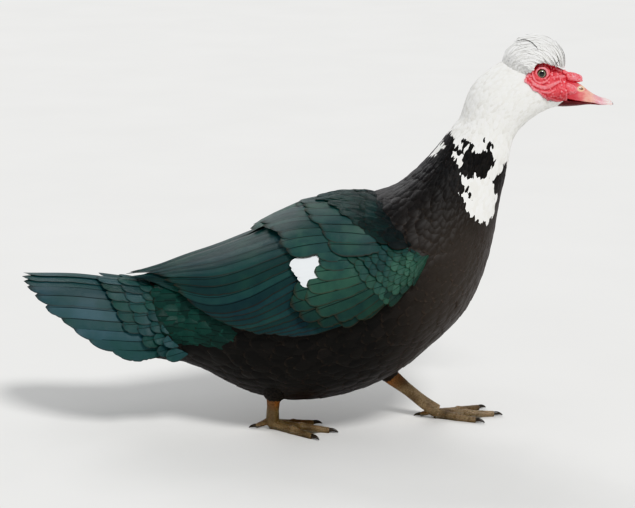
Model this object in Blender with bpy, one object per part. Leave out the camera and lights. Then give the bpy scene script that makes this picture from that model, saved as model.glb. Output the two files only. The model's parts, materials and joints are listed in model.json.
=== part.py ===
"""A Muscovy drake in mid stride, at life size, as one closed solid for each named part of the body.

The bird faces +X, +Y is its left and +Z is up. The floor is Z = 0, and X = 0 is half way from the tip of
the tail to the tip of the bill. Sizes are in millimetres, and mesh_object scales them to metres.
"""

import math

import bmesh
import bpy
import numpy as np

MM = 0.001
GAP = 0.3  # between parts that touch
BILL_TIP = 365.5
TAIL_TIP = -365.5

RIGHT, LEFT = -1, 1
SIDES = {"right": RIGHT, "left": LEFT}

# The trunk, neck and head are one loft from the rump to the face. Each station is a flat section, given
# by its point on the back (x, z), its point on the belly or throat (x, z), and its half width.
BODY_STATIONS = (
    ((-174, 200), (-175, 93), 46),  # root of the tail
    ((-137, 219), (-135, 78), 58),  # rump
    ((-89, 241), (-82, 50), 76),  # loins
    ((-39, 267), (-18, 39), 90),  # belly, its lowest
    ((13, 288), (43, 49), 98),  # mid back
    ((59, 299), (99, 73), 98),  # shoulders
    ((94, 308), (144, 110), 93),  # breast
    ((118, 325), (184, 149), 82),  # crop
    ((138, 345), (208, 196), 68),
    ((152, 362), (222, 249), 54),  # base of the neck
    ((162, 375), (229, 295), 44),
    ((170, 387), (238, 338), 38),
    ((179, 397), (243, 370), 34),  # collar of the white hood
    ((184, 416), (255, 389), 33),
    ((193, 437), (267, 399), 34),  # cheeks
    ((212, 457), (279, 407), 32),
    ((238, 471), (287, 410), 28),  # back of the skull
    ((268, 476), (294, 412), 23.5),  # eyes
    ((292, 463), (300, 413), 18),  # forehead
    ((306, 447), (308, 414), 14.5),  # root of the bill
)
BODY_TABLE = np.array([(*back, *belly, half) for back, belly, half in BODY_STATIONS], float)
NECK_AT = 8.6  # where the neck starts, counted in stations
HEAD_AT = 13.4  # where the head starts
FACE_AT = len(BODY_STATIONS) - 1
BODY_SEGMENTS = 24
BODY_STEP = 0.5  # stations from one ring to the next

# The bare red mask, as seen from the side, from its back corner over the eye to the bill and back
# along the gape.
MASK_OUTLINE = (
    (254, 448), (259, 455), (264, 465), (269, 469), (276, 470), (283, 467), (292, 463), (300, 460),
    (312, 458), (312, 424), (292, 424), (284, 424), (279, 428), (273, 433), (267, 437), (261, 442),
)  # fmt: skip
MASK_RELIEF = 2.0  # the bare skin stands this far above the line of the feathers
CHIN_X = 291.0  # the lower mandible starts here
MOUTH_Z = 423.5

EYE_X, EYE_Z = 274.0, 456.0
EYE_RADIUS = 8.0
EYE_OFFSET = 19.5  # of its centre, from the middle of the head
LID_RING = 7.6
LID_THICKNESS = 1.7
# Warts of the bare skin on each side, as x, z and radius: round the eye, along the jaw, then between.
WARTS = (
    (260, 449, 4.0), (264.5, 457.5, 3.8), (288, 460.5, 3.6), (297, 456.5, 4.0), (265.5, 443.3, 3.8),
    (272.5, 438.5, 4.0), (280, 433.2, 3.8), (288.5, 451, 3.6), (280, 442.5, 3.8), (293, 436, 3.8),
)  # fmt: skip
# Folds of the bare skin on each side, as (x, z) points: over the eye, and from the cheek to the gape.
FOLDS = (
    ((266, 463), (274, 467.5), (283, 465), (293, 459.5), (303, 455)),
    ((300, 449), (292, 444), (285, 437), (284, 430), (292, 426.5), (303, 427)),
)
FOLD_RADIUS = 2.2

# Each station of a mandible is x, its top, its lower edge and its half width.
UPPER_BILL = (
    (307, 446, 424, 14),
    (316, 444, 422, 13.5),
    (326, 439, 420.5, 13),
    (333, 433.5, 419.5, 12.5),
    (341, 428, 418, 12.3),
    (350, 423.5, 416, 12.5),
    (358, 420.5, 414.5, 11.5),
    (363, 418, 413.4, 8.5),
    (BILL_TIP, 415.8, 413.6, 4),
)
LOWER_BILL = (
    (CHIN_X + GAP, 421.5, 412.8, 11),
    (305, 421.5, 412, 12),
    (320, 420.3, 412.5, 11.5),
    (336, 417.6, 412.3, 10.5),
    (349, 415.2, 411.8, 9.5),
    (358, 413.7, 411.8, 6),
)
NOSTRIL_X, NOSTRIL_Z = 324.5, 435.5

# The crest is a cap of feathers over the crown. Its outline is a distance from CREST_CENTRE at each angle,
# from 0 at the forehead, up over the crown, to 180 at the nape.
CREST_CENTRE = np.array([264.0, 0, 460.0])
CREST_OUTLINE = ((-5, 41), (15, 43), (35, 42), (60, 40), (95, 40), (115, 39.5), (135, 36), (155, 37), (175, 44))
CREST_HALF_WIDTH = 31.0
CREST_CORE = (33.0, 26.0, 28.0)
# Each row of crest feathers is the angle of its roots, how many it has, and how soon they rise from the
# core, as a share of their length.
CREST_ROWS = ((-4, 6, 0.25), (18, 5, 0.6), (42, 6, 0.6), (67, 5, 0.6), (92, 6, 0.6), (120, 5, 0.6))
CREST_FEATHER_ARC = 50.0  # degrees from root to tip
CREST_SPREAD = 64.0  # degrees from the middle to the outermost feather

# The folded wing is a sheet over the flank, from the bend of the wing back to the tips. Each station is
# x, the sheet's half width where its lower edge hangs, the height of that edge, the height of its top,
# and how far round towards the midline it reaches, in degrees.
WING_STATIONS = (
    (-238, 18, 198, 204, 86),  # tips of the longest quills
    (-206, 31, 194, 211, 86),
    (-162, 52, 180, 227, 86),
    (-121, 73, 160, 241, 86),
    (-78, 91, 152, 258, 84),
    (-50, 102, 155, 273, 78),
    (-17, 108, 159, 288, 70),
    (45, 110, 168, 299, 58),
    (85, 106, 188, 296, 50),
    (118, 97, 214, 290, 44),
    (138, 86, 243, 272, 40),  # bend of the wing
)
WING_TABLE = np.array(WING_STATIONS, float)
# Each tier of wing feathers, from the lowest up, is a count, the roots of its first and last feathers,
# their tips, half the width of a feather, how far the roots stand off the sheet, and how far the first and
# the last tips do. Places are (x, across).
WING_TIERS = (
    (4, ((-70, 0.3), (-90, 0.62)), ((-204, 0.2), (-236, 0.62)), 10.5, -11, (-9, -5.5)),  # primaries
    (7, ((34, 0.03), (2, 0.47)), ((-54, 0.0), (-150, 0.06)), 11, -4, (-7.4, -2)),  # secondaries
    (5, ((0, 0.56), (10, 0.97)), ((-168, 0.14), (-222, 0.86)), 14, -4, (-1.8, -1)),  # tertials
    (3, ((36, 0.52), (46, 0.31)), ((-26, 0.42), (-24, 0.16)), 13, -1, (3.6, 3.0)),  # greater coverts
    (3, ((60, 0.24), (104, 0.24)), ((-4, 0.05), (54, 0.03)), 12, -1, (2.2, 1.4)),  # greater coverts, hand
    (5, ((86, 0.7), (112, 0.24)), ((22, 0.64), (64, 0.2)), 12, 0, (6.2, 5.4)),  # median coverts
    (4, ((90, 1.04), (76, 0.78)), ((-4, 1.04), (2, 0.72)), 13, -3, (4.0, 3.2)),  # scapulars
)
# The outer face of the wing's core, as x and how far it stands off the sheet.
WING_CORE = ((-140, -8.0), (-30, -8.0), (20, -1.5), (60, 2.0), (110, 2.5), (137, 0.5))

# The tail is a roof of long feathers round the axis of the rump. Each station is x, the height of its
# ridge, and the half width and the height of its arch.
TAIL_STATIONS = (
    (TAIL_TIP, 198, 62, 76),
    (-300, 197, 64, 75),
    (-240, 190, 60, 73),
    (-206, 186, 53, 73),
    (-175, 193, 44, 84),
)
TAIL_TABLE = np.array(TAIL_STATIONS, float)
TAIL_ROOT = -178.0
TAIL_FEATHER_HALF = 14.5
# Each pair of tail feathers, from the middle out, is its place round the arch in degrees and its tip in x.
TAIL_FEATHERS = (
    (5, TAIL_TIP), (15, -362), (25, -356), (37, -345), (50, -331),
    (61, -311), (70, -296), (79, -278), (88, -250),
)  # fmt: skip

# Tiers of tail coverts, as for the wing, with places as (x, degrees from the ridge) on each side.
TAIL_COVERTS = (
    (5, ((-188, 11), (-182, 56)), ((-270, 11), (-232, 62)), 10, -6, (6.5, 4.6)),
    (6, ((-179, 11), (-177.5, 80)), ((-222, 14), (-200, 84)), 9.5, -3, (8.0, 6.4)),
)
MIDDLE_LIFTS = {RIGHT: 1.1, LEFT: 2.7}  # the left feather of the middle pair lies over the right one

# A feather is a thin diamond in section. Each section is its place from root to tip, and its share of the
# full width and of the full thickness.
LONG_VANE = ((0, 0.4, 1), (0.3, 0.85, 1), (0.62, 1, 0.9), (0.9, 0.8, 0.75), (1, 0.2, 0.45))
SHORT_VANE = ((0, 0.45, 1), (0.4, 1, 1), (0.82, 0.9, 0.8), (1, 0.25, 0.45))
SHORT_LENGTH = 75.0  # a feather under this length has the fewer sections
RISE = 32.0  # a feather leaves the core over this length
VANE_THICKNESS = 1.1
LAP = 0.15  # one edge of a feather is raised by this share of its half width, and the other lowered
TAIL_LAP = 0.12

# A leg is a path of (x, distance from the midline, z, radius), from inside the thigh down to the foot.
LEGS = {
    "right": {
        "thigh": ((-42, 38, 112, 27), (-46, 37, 84, 24), (-49, 35, 66, 20), (-49, 32, 49, 13)),
        "shank": (
            (-48, 36, 76, 9), (-49, 33, 62, 10.5), (-51, 29, 50, 9.5), (-52, 22, 34, 8),
            (-53, 15, 18, 8.3), (-53, 11, 7, 9),
        ),
        "foot": (-53.0, -10.0),
        "heading": -14.0,
    },
    "left": {
        "thigh": ((52, 34, 128, 32), (74, 33, 94, 25), (90, 32, 70, 18), (97, 31, 58, 13)),
        "shank": (
            (88, 32, 74, 9), (97, 31, 58, 10.5), (107, 31, 49, 9.5), (122, 30, 37, 8),
            (140, 30, 22, 8.2), (158, 30, 9, 9),
        ),
        "foot": (159.0, 30.0),
        "heading": 4.0,
    },
}  # fmt: skip
# Each front toe is its angle outward from the middle toe in degrees, its length, and its radius at the root.
TOES = ((25, 66, 6.0), (0, 76, 6.4), (-26, 54, 6.0))
WEB_THICKNESS = 1.6
HIND_TOE_ANGLE = 165.0
CLAW_LENGTH = 12.0
CLAW_PATH = ((0, 0.2, 2.6), (0.4, 0.5, 2.3), (0.75, -0.5, 1.5), (1, -2.2, 0.5))  # share of length, rise, radius


# Shapes. Each is a pair of arrays, points and triangles that face out.


def smooth_through(stations, t):
    """The value at t, counted in stations, of a smooth curve through all of them."""
    last = len(stations) - 1
    i = min(max(int(math.floor(t)), 0), last - 1)
    f = t - i
    p1, p2 = stations[i], stations[i + 1]
    p0 = stations[i - 1] if i > 0 else 2 * p1 - p2
    p3 = stations[i + 2] if i + 2 <= last else 2 * p2 - p1
    bend = (2 * p0 - 5 * p1 + 4 * p2 - p3) * f**2 + (3 * p1 - p0 - 3 * p2 + p3) * f**3
    return 0.5 * (2 * p1 + (p2 - p0) * f + bend)


def smooth_at(table, x):
    """The row at x of a table whose first column is x, rising."""
    knots = table[:, 0]
    x = min(max(x, knots[0]), knots[-1])
    i = min(max(int(np.searchsorted(knots, x)) - 1, 0), len(knots) - 2)
    return smooth_through(table, i + (x - knots[i]) / (knots[i + 1] - knots[i]))


def facing_out(points, faces):
    corners = points[faces]
    volume = np.einsum("ij,ij->i", corners[:, 0], np.cross(corners[:, 1], corners[:, 2])).sum()
    return points, faces if volume > 0 else faces[:, ::-1]


def loft(rings, folded=False):
    """A closed mesh through rings of equal count, with its ends capped.

    The diagonals meet at every other point of a ring, so that both faces of a thin vane are split alike.
    A folded ring runs out along one face of a sheet and back along the other, and is capped across it.
    """
    n = len(rings[0])
    points = np.concatenate(rings)
    end = len(points) - n
    faces = []
    for j in range(n):
        k = (j + 1) % n
        for a in range(0, end, n):
            b = a + n
            if j % 2 == 0:
                faces += [(a + j, a + k, b + k), (a + j, b + k, b + j)]
            else:
                faces += [(a + j, a + k, b + j), (a + k, b + k, b + j)]
    if n <= 4 or folded:
        for j in range(n // 2 - 1):
            a, b, c, d = j, j + 1, n - 2 - j, n - 1 - j
            faces += [(a, d, b), (b, d, c), (end + a, end + b, end + d), (end + b, end + c, end + d)]
    else:
        points = np.concatenate([points, [np.mean(rings[0], 0), np.mean(rings[-1], 0)]])
        for j in range(n):
            k = (j + 1) % n
            faces += [(len(points) - 2, k, j), (len(points) - 1, end + j, end + k)]
    return facing_out(points, np.array(faces))


def tube(path, radii, segments=10, side=(0, 1, 0), width=1.0):
    """A closed tube along a path. Its thickness along side is multiplied by width."""
    path = np.array(path, float)
    rings = []
    for i, (centre, radius) in enumerate(zip(path, radii)):
        ahead = path[min(i + 1, len(path) - 1)] - path[max(i - 1, 0)]
        ahead /= np.linalg.norm(ahead)
        across = np.array(side, float) - ahead * (np.array(side) @ ahead)
        across /= np.linalg.norm(across)
        up = np.cross(ahead, across)
        angles = 2 * math.pi * np.arange(segments) / segments
        rings.append(centre + radius * (np.outer(np.cos(angles) * width, across) + np.outer(np.sin(angles), up)))
    return loft(rings)


def ellipsoid(centre, radii, around=12, rows=7, tilt=0.0, grow=0.0):
    """A closed ball stretched to three radii, its nose along X tipped up by tilt degrees."""
    polars = math.pi * np.linspace(0.04, 0.96, rows)
    angles = 2 * math.pi * np.arange(around) / around
    rings = []
    for polar in polars:
        round_x = np.stack([np.zeros(around), np.cos(angles), np.sin(angles)], 1) * math.sin(polar)
        rings.append((round_x + (math.cos(polar), 0, 0)) * (np.array(radii, float) + grow))
    c, s = math.cos(math.radians(tilt)), math.sin(math.radians(tilt))
    turn = np.array([[c, 0, s], [0, 1, 0], [-s, 0, c]])
    return loft([ring @ turn + np.array(centre, float) for ring in rings])


def prism(outline, low, high, axis=1):
    """A closed plate: an outline carried from low to high along one axis."""
    outline = np.array(outline, float)
    return loft([np.insert(outline, axis, value, axis=1) for value in (low, high)])


def block(low, high):
    (x0, y0, z0), (x1, y1, z1) = low, high
    return prism(((x0, z0), (x1, z0), (x1, z1), (x0, z1)), y0, y1)


def mirrored(shape):
    points, faces = shape
    return points * (1, -1, 1), faces[:, ::-1]


def vane(sheet, root, tip, half, lifts, lap, rise=None):
    """A feather over a sheet, standing off it by lifts[0] at the root and by lifts[1] once it has risen."""
    root, tip = np.array(root, float), np.array(tip, float)
    middle = (root + tip) / 2
    nudges = np.eye(2) * 0.01
    scale = np.array([np.linalg.norm(sheet(*(middle + n)) - sheet(*(middle - n))) / 0.02 for n in nudges])
    ahead = (tip - root) * scale
    length = np.linalg.norm(ahead)
    ahead /= length
    across = np.array([-ahead[1], ahead[0]]) / scale
    rings = []
    for f, width_share, thickness_share in SHORT_VANE if length < SHORT_LENGTH else LONG_VANE:
        centre = root + (tip - root) * f
        reach = half * width_share
        risen = min(1.0, f / (rise or RISE / length))
        lift = lifts[0] + (lifts[1] - lifts[0]) * risen * risen * (3 - 2 * risen)
        thickness = VANE_THICKNESS * thickness_share / 2
        rings.append((
            sheet(*(centre + across * reach), lift + lap * reach),
            sheet(*centre, lift + thickness),
            sheet(*(centre - across * reach), lift - lap * reach),
            sheet(*centre, lift - thickness),
        ))  # fmt: skip
    return loft(rings)


def tier(sheet, count, roots, tips, half, root_lift, tip_lifts, lap):
    """Feathers at even steps from the first root and tip to the last."""
    made = []
    for f in np.linspace(0, 1, count):
        root = np.array(roots[0]) * (1 - f) + np.array(roots[1]) * f
        tip = np.array(tips[0]) * (1 - f) + np.array(tips[1]) * f
        lifts = (root_lift, tip_lifts[0] * (1 - f) + tip_lifts[1] * f)
        made.append(vane(sheet, root, tip, half, lifts, lap))
    return made


# Booleans.


def mesh_object(name, shape, collection):
    points, faces = shape
    mesh = bpy.data.meshes.new(name)
    mesh.from_pydata((np.asarray(points) * MM).tolist(), [], np.asarray(faces).tolist())
    made = bpy.data.objects.new(name, mesh)
    collection.objects.link(made)
    return made


def combined(shape, others, operation):
    """The shape joined with the others, or cut or bounded by them, as one closed surface: its largest."""
    if not others:
        return shape
    scene = bpy.context.scene.collection
    tools = bpy.data.collections.new("tools")
    scene.children.link(tools)
    for other in others:
        mesh_object("tool", other, tools)
    target = mesh_object("target", shape, scene)
    modifier = target.modifiers.new("combine", "BOOLEAN")
    modifier.operation = operation
    modifier.operand_type = "COLLECTION"
    modifier.collection = tools
    modifier.solver = "EXACT"
    graph = bpy.context.evaluated_depsgraph_get()
    result = bpy.data.meshes.new_from_object(target.evaluated_get(graph))
    work = bmesh.new()
    work.from_mesh(result)
    for made in [target, *tools.objects]:
        mesh = made.data
        bpy.data.objects.remove(made)
        bpy.data.meshes.remove(mesh)
    bpy.data.collections.remove(tools)
    bpy.data.meshes.remove(result)
    return largest_surface(work)


def largest_surface(work):
    """The largest closed surface of a mesh, so that no scrap or sealed hollow stays."""
    bmesh.ops.triangulate(work, faces=work.faces)
    bmesh.ops.remove_doubles(work, verts=work.verts, dist=1e-6)
    bmesh.ops.dissolve_degenerate(work, edges=work.edges, dist=1e-6)
    bmesh.ops.triangulate(work, faces=work.faces)
    left = set(work.verts)
    groups = []
    while left:
        front = {left.pop()}
        group = set()
        while front:
            vert = front.pop()
            group.add(vert)
            front |= {e.other_vert(vert) for e in vert.link_edges} - group
        left -= group
        groups.append(group)
    for group in sorted(groups, key=surface_volume)[:-1]:
        bmesh.ops.delete(work, geom=list(group), context="VERTS")
    work.verts.index_update()
    points = np.array([v.co[:] for v in work.verts]) / MM
    faces = np.array([[v.index for v in f.verts] for f in work.faces])
    work.free()
    return points, faces


def surface_volume(group):
    faces = {f for v in group for f in v.link_faces}
    return abs(sum(f.verts[0].co.dot(f.verts[1].co.cross(f.verts[2].co)) for f in faces))


def joined(pieces):
    return combined(pieces[0], pieces[1:], "UNION")


def cut(shape, cutters):
    return combined(shape, cutters, "DIFFERENCE")


# Trunk, neck and head.


def body_section(t):
    """Centre, up vector, half height and half width of the body's section at station t."""
    back_x, back_z, belly_x, belly_z, half_width = smooth_through(BODY_TABLE, t)
    centre = np.array([back_x + belly_x, 0, back_z + belly_z]) / 2
    up = np.array([back_x - belly_x, 0, back_z - belly_z]) / 2
    half_height = np.linalg.norm(up)
    return centre, up / half_height, half_height, half_width


def body_ring(t, grow, shift):
    """The ring of points round the body at station t, moved along the body by shift."""
    centre, up, half_height, half_width = body_section(t)
    forward = np.array([up[2], 0, -up[0]])
    angles = 2 * math.pi * np.arange(BODY_SEGMENTS) / BODY_SEGMENTS
    across = np.outer(np.cos(angles), (0, half_width + grow, 0))
    return centre + forward * shift + across + np.outer(np.sin(angles), up) * (half_height + grow)


def body_loft(start, end, grow=0.0, start_gap=0.0, end_gap=0.0):
    """The body between two stations. A gap draws that end in."""
    grid = np.arange(0, FACE_AT, BODY_STEP)
    places = [start, *grid[(grid > start + BODY_STEP / 4) & (grid < end - BODY_STEP / 4)], end]
    shifts = np.zeros(len(places))
    shifts[0], shifts[-1] = start_gap, -end_gap
    return loft([body_ring(t, grow, shift) for t, shift in zip(places, shifts)])


def trunk_space():
    return body_loft(0, NECK_AT + 1, GAP)


def torso():
    return body_loft(0, NECK_AT, 0, 0, GAP / 2)


def neck():
    return body_loft(NECK_AT, HEAD_AT, 0, GAP / 2, GAP / 2)


def body_side(x, z):
    """Half the width of the head at a point of its side view."""
    best = None
    for t in np.arange(HEAD_AT, FACE_AT, 0.05):
        centre, up, half_height, half_width = body_section(t)
        away = np.array([x, 0, z]) - centre
        off = abs(away[0] * up[2] - away[2] * up[0])
        if best is None or off < best[0]:
            height = min(1.0, abs(away @ up) / half_height)
            best = (off, half_width * math.sqrt(1 - height * height))
    return best[1]


def head_space():
    return body_loft(HEAD_AT - 0.4, FACE_AT, GAP)


def head():
    chin = block((CHIN_X, -40, 380), (330, 40, 430))
    return cut(body_loft(HEAD_AT, FACE_AT, 0, GAP / 2), [mask_prism(GAP), chin])


# Face and bill.


def mask_prism(grow):
    """A plate through the head, of the mask's outline, larger by grow all round."""
    outline = np.array(MASK_OUTLINE, float)
    centre = np.array([EYE_X + 6, (EYE_Z + MOUTH_Z) / 2])
    away = outline - centre
    outline = outline + away / np.linalg.norm(away, axis=1)[:, None] * grow * 1.3
    return prism(outline, -45, 45)


def mask_block(grow):
    """The bare part of the head: the head's own shape inside the mask's outline, stood out by its relief."""
    return combined(body_loft(15.2, FACE_AT, MASK_RELIEF + grow), [mask_prism(grow)], "INTERSECT")


def face_lobes(grow):
    """The lumps that hang over the root of the bill: the knob, and a lobe on each side."""
    lobes = [
        ellipsoid((315, 0, 450), (12, 9, 6.5), 10, 6, -8, grow),
        ellipsoid((323, 0, 449.5), (5.5, 6.5, 5), 8, 5, 0, grow),
    ]
    for side in SIDES.values():
        lobes.append(ellipsoid((303, side * 12.5, 435), (16, 5.5, 8), 10, 6, -6, grow))
    return lobes


def eye_ball(side, grow=0.0):
    return ellipsoid((EYE_X, side * EYE_OFFSET, EYE_Z), (EYE_RADIUS,) * 3, 12, 7, 0, grow)


def lid(side):
    """The ring of bare skin round one eye."""
    y = side * (EYE_OFFSET + math.sqrt((EYE_RADIUS + LID_THICKNESS) ** 2 - LID_RING**2) - 1.2)
    points, faces = [], []
    around, segments = 14, 5
    for i in range(around):
        angle = 2 * math.pi * i / around
        outward = np.array([math.cos(angle), 0, math.sin(angle)])
        for j in range(segments):
            turn = 2 * math.pi * j / segments
            reach = outward * (LID_RING + LID_THICKNESS * math.cos(turn))
            points.append(np.array([EYE_X, y, EYE_Z]) + reach + (0, LID_THICKNESS * math.sin(turn), 0))
            a, b = i * segments + j, i * segments + (j + 1) % segments
            c, d = (a + segments) % (around * segments), (b + segments) % (around * segments)
            faces += [(a, b, d), (a, d, c)]
    return facing_out(np.array(points), np.array(faces))


def bare_skin(side):
    """The warts and folds of one side of the mask."""
    made = []
    for x, z, radius in WARTS:
        y = side * (body_side(x, z) + MASK_RELIEF - 0.6)
        made.append(ellipsoid((x, y, z), (radius, radius * 0.75, radius), 6, 3))
    for fold in FOLDS:
        path = [(x, side * (body_side(x, z) + MASK_RELIEF - 0.4), z) for x, z in fold]
        radii = [FOLD_RADIUS * (0.5 if i in (0, len(fold) - 1) else 1) for i in range(len(fold))]
        made.append(tube(path, radii, 6))
    return made


def face():
    pieces = [mask_block(0), *face_lobes(0)]
    for side in SIDES.values():
        pieces += [lid(side), *bare_skin(side)]
    return cut(joined(pieces), [eye_ball(side, GAP) for side in SIDES.values()])


def mandible(stations, domed, count=8):
    """A half of the bill: a loft whose sections are domed on one side and nearly flat on the other."""
    rings = []
    for x, top, edge, half in stations:
        angles = np.linspace(0, math.pi, count)
        dome = [(x, half * math.cos(a), edge + (top - edge) * math.sin(a) ** 0.8) for a in angles]
        if not domed:
            dome = [(x, y, top + edge - z) for _, y, z in dome]
        flat = edge if domed else top
        inner = [(x, -half * 0.85 * f, flat + (0.6 if domed else -0.6)) for f in np.linspace(1, -1, count - 2)]
        rings.append(dome + inner)
    return loft(rings)


def upper_bill():
    nail = ellipsoid((360.5, 0, 417), (5.5, 5, 2.6), 10, 5, -22)
    nostril = ellipsoid((NOSTRIL_X, 0, NOSTRIL_Z), (3.2, 30, 1.9), 10, 6, -20)
    stations = [(x + (GAP + MASK_RELIEF if x < 310 else 0), *rest) for x, *rest in UPPER_BILL]
    bill = joined([mandible(stations, True), nail])
    return cut(bill, [*face_lobes(GAP), mask_block(GAP), nostril])


def lower_bill():
    return mandible(LOWER_BILL, False)


# Crest.


def crest_point(angle, turn, lift=0.0):
    """A point of the crest's outline at an angle from the forehead and turned to one side."""
    angles, radii = zip(*CREST_OUTLINE)
    radius = np.interp(angle, angles, radii) + lift
    a, b = math.radians(angle), math.radians(turn)
    reach = np.array([math.cos(a), 0, math.sin(a)]) * radius * math.cos(b)
    return CREST_CENTRE + reach + (0, (CREST_HALF_WIDTH + lift) * math.sin(b), 0)


def crest():
    pieces = [ellipsoid(CREST_CENTRE, CREST_CORE, 16, 9)]
    for angle, count, rise in CREST_ROWS:
        widest = CREST_SPREAD if count % 2 == 0 else CREST_SPREAD * (1 - 1 / count)
        for turn in np.linspace(-widest, widest, count):
            tip = (angle + CREST_FEATHER_ARC, turn)
            pieces.append(vane(crest_point, (angle, turn), tip, 9, (-12, 0), LAP, rise))
    return cut(joined(pieces), [head_space(), mask_prism(GAP)])


# Wings and tail.


def wing_point(side, x, across, lift=0.0):
    """A point of the folded wing's sheet: across runs from 0, its lower edge, to 1, its upper edge."""
    _, half, low, top, reach = smooth_at(WING_TABLE, x)
    angle = math.radians(reach) * across
    outward = np.array([0, math.cos(angle) * (top - low), math.sin(angle) * half])
    outward /= np.linalg.norm(outward)
    point = np.array([x, half * math.cos(angle), low + (top - low) * math.sin(angle)]) + outward * lift
    return point * (1, side, 1)


def wing_core(side):
    """A curved slab under the feathers, from the bend of the wing to the rump."""
    places, lifts = zip(*WING_CORE)
    rings = []
    for x in np.linspace(places[-1], places[0], 12):
        lift = np.interp(x, places, lifts)
        depth = 8 + 16 * math.sin(math.pi * (x - places[0]) / (places[-1] - places[0]))
        outer = [wing_point(side, x, a, lift) for a in np.linspace(0, 1, 8)]
        inner = [wing_point(side, x, a, lift - depth) for a in np.linspace(1, 0, 8)]
        rings.append(outer + inner)
    return loft(rings, folded=True)


def wing(side):
    def sheet(x, across, lift=0.0):
        return wing_point(side, x, across, lift)

    pieces = [wing_core(side)]
    for row in WING_TIERS:
        pieces += tier(sheet, *row, LAP)
    over_middle = block((-260, -60, 150), (160, -GAP / 2, 330))
    return cut(joined(pieces), [trunk_space(), over_middle if side == LEFT else mirrored(over_middle)])


def tail_point(x, turn, lift=0.0):
    """A point of the tail's arch at turn degrees from its ridge, stood out by lift."""
    _, ridge, half, arch = smooth_at(TAIL_TABLE, x)
    a = math.radians(turn)
    return np.array([x, math.sin(a) * (half + lift), ridge - arch + math.cos(a) * (arch + lift)])


def tail_core(columns=6, turns=13):
    """The root of the tail: as full as the rump in front, and thinning to a roof under the feathers."""
    arc = np.linspace(-88, 88, turns)
    rings = []
    for f in np.linspace(0, 1, columns + 1):
        reach = 80 - 30 * (arc / 88) ** 2
        xs = TAIL_ROOT + 2.5 - reach * f
        lift = 0.5 - 5.5 * min(1.0, f * 2)
        depth = 40 - 37 * f**0.7
        outer = [tail_point(x, turn, lift) for x, turn in zip(xs, arc)]
        inner = [tail_point(x, turn, lift - depth) for x, turn in zip(xs[::-1], arc[::-1])]
        rings.append(outer + inner)
    return loft(rings, folded=True)


def tail():
    pieces = [tail_core()]
    for side in SIDES.values():
        for turn, tip in TAIL_FEATHERS:
            root = (TAIL_ROOT - 8, side * turn)
            middle = turn == TAIL_FEATHERS[0][0]
            lifts = (-6, MIDDLE_LIFTS[side] if middle else 0)
            lap = TAIL_LAP if middle else -side * TAIL_LAP
            pieces.append(vane(tail_point, root, (tip, side * turn), TAIL_FEATHER_HALF, lifts, lap))
        for count, roots, tips, half, *lifts in TAIL_COVERTS:
            ends = [[(x, side * turn) for x, turn in pair] for pair in (roots, tips)]
            pieces += tier(tail_point, count, *ends, half, *lifts, -side * LAP)
    return joined(pieces)


# Legs and feet.


def leg_path(name, part_name):
    rows = np.array(LEGS[name][part_name], float)
    return rows[:, :3] * (1, SIDES[name], 1), rows[:, 3]


def thigh_space(name, grow):
    path, radii = leg_path(name, "thigh")
    return tube(path, radii + grow, 12)


def thigh(name):
    return cut(thigh_space(name, 0), [trunk_space()])


def toe_end(name, angle, length):
    """Where a toe that leaves the foot at an angle ends, and its direction."""
    leg = LEGS[name]
    turn = math.radians(leg["heading"] + SIDES[name] * angle)
    ahead = np.array([math.cos(turn), math.sin(turn), 0])
    return np.array([*leg["foot"], 0]) + ahead * length, ahead


def toe(name, angle, length, radius):
    start, ahead = toe_end(name, angle, 0)
    rows = ((-0.04, 5.5, 1.15), (0.15, 5.2, 1.0), (0.42, 4.2, 0.88), (0.5, 4.4, 0.98), (0.6, 3.9, 0.82), (0.98, 3, 0.6))
    path = [start + ahead * length * f + (0, 0, z) for f, z, _ in rows]
    return tube(path, [radius * share for _, _, share in rows], 7, np.cross((0, 0, 1), ahead))


def webs(name):
    """The skin between the front toes, a plate with a hollow front edge."""
    ends = [toe_end(name, angle, length * 0.9)[0] for angle, length, _ in TOES]
    root = toe_end(name, 180, 5)[0]
    edge = [ends[0]]
    for a, b in zip(ends, ends[1:]):
        middle = (a + b) / 2
        edge += [a + (middle - a) * 0.5 - (middle - root) * 0.05, middle - (middle - root) * 0.1]
        edge += [b + (middle - b) * 0.5 - (middle - root) * 0.05, b]
    return prism([p[:2] for p in [root, *edge]], 0, WEB_THICKNESS, 2)


def hind_toe(name):
    start, ahead = toe_end(name, HIND_TOE_ANGLE, 0)
    path = [start + ahead * out + (0, 0, z) for out, z in ((3, 11), (12, 6.5), (22, 2.6))]
    return tube(path, (4.6, 3.8, 2.8), 8, np.cross((0, 0, 1), ahead))


def claws(name, grow=0.0):
    """One curved claw for each toe, from the middle of the toe's end."""
    made = []
    for angle, length, _ in [*TOES, (HIND_TOE_ANGLE, 19, 0)]:
        start, ahead = toe_end(name, angle, length * 0.97 - grow)
        rise = 3.0 if angle == HIND_TOE_ANGLE else 3.6
        path = [start + ahead * (CLAW_LENGTH * f) + (0, 0, rise + z) for f, z, _ in CLAW_PATH]
        radii = [radius + grow for _, _, radius in CLAW_PATH]
        made.append(tube(path, radii, 6, np.cross((0, 0, 1), ahead)))
    return made


def leg(name):
    path, radii = leg_path(name, "shank")
    pieces = [tube(path, radii, 12), webs(name), hind_toe(name)]
    pieces += [toe(name, *row) for row in TOES]
    below_floor = block((-150, -150, -30), (320, 150, 0))
    return cut(joined(pieces), [thigh_space(name, GAP), trunk_space(), below_floor, *claws(name, GAP)])


# Assembly.


def material(name, colour, roughness):
    made = bpy.data.materials.new(name)
    made.use_nodes = True
    shader = made.node_tree.nodes["Principled BSDF"]
    shader.inputs["Base Color"].default_value = (*colour, 1)
    shader.inputs["Roughness"].default_value = roughness
    shader.inputs["Metallic"].default_value = 0.0
    return made


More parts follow.
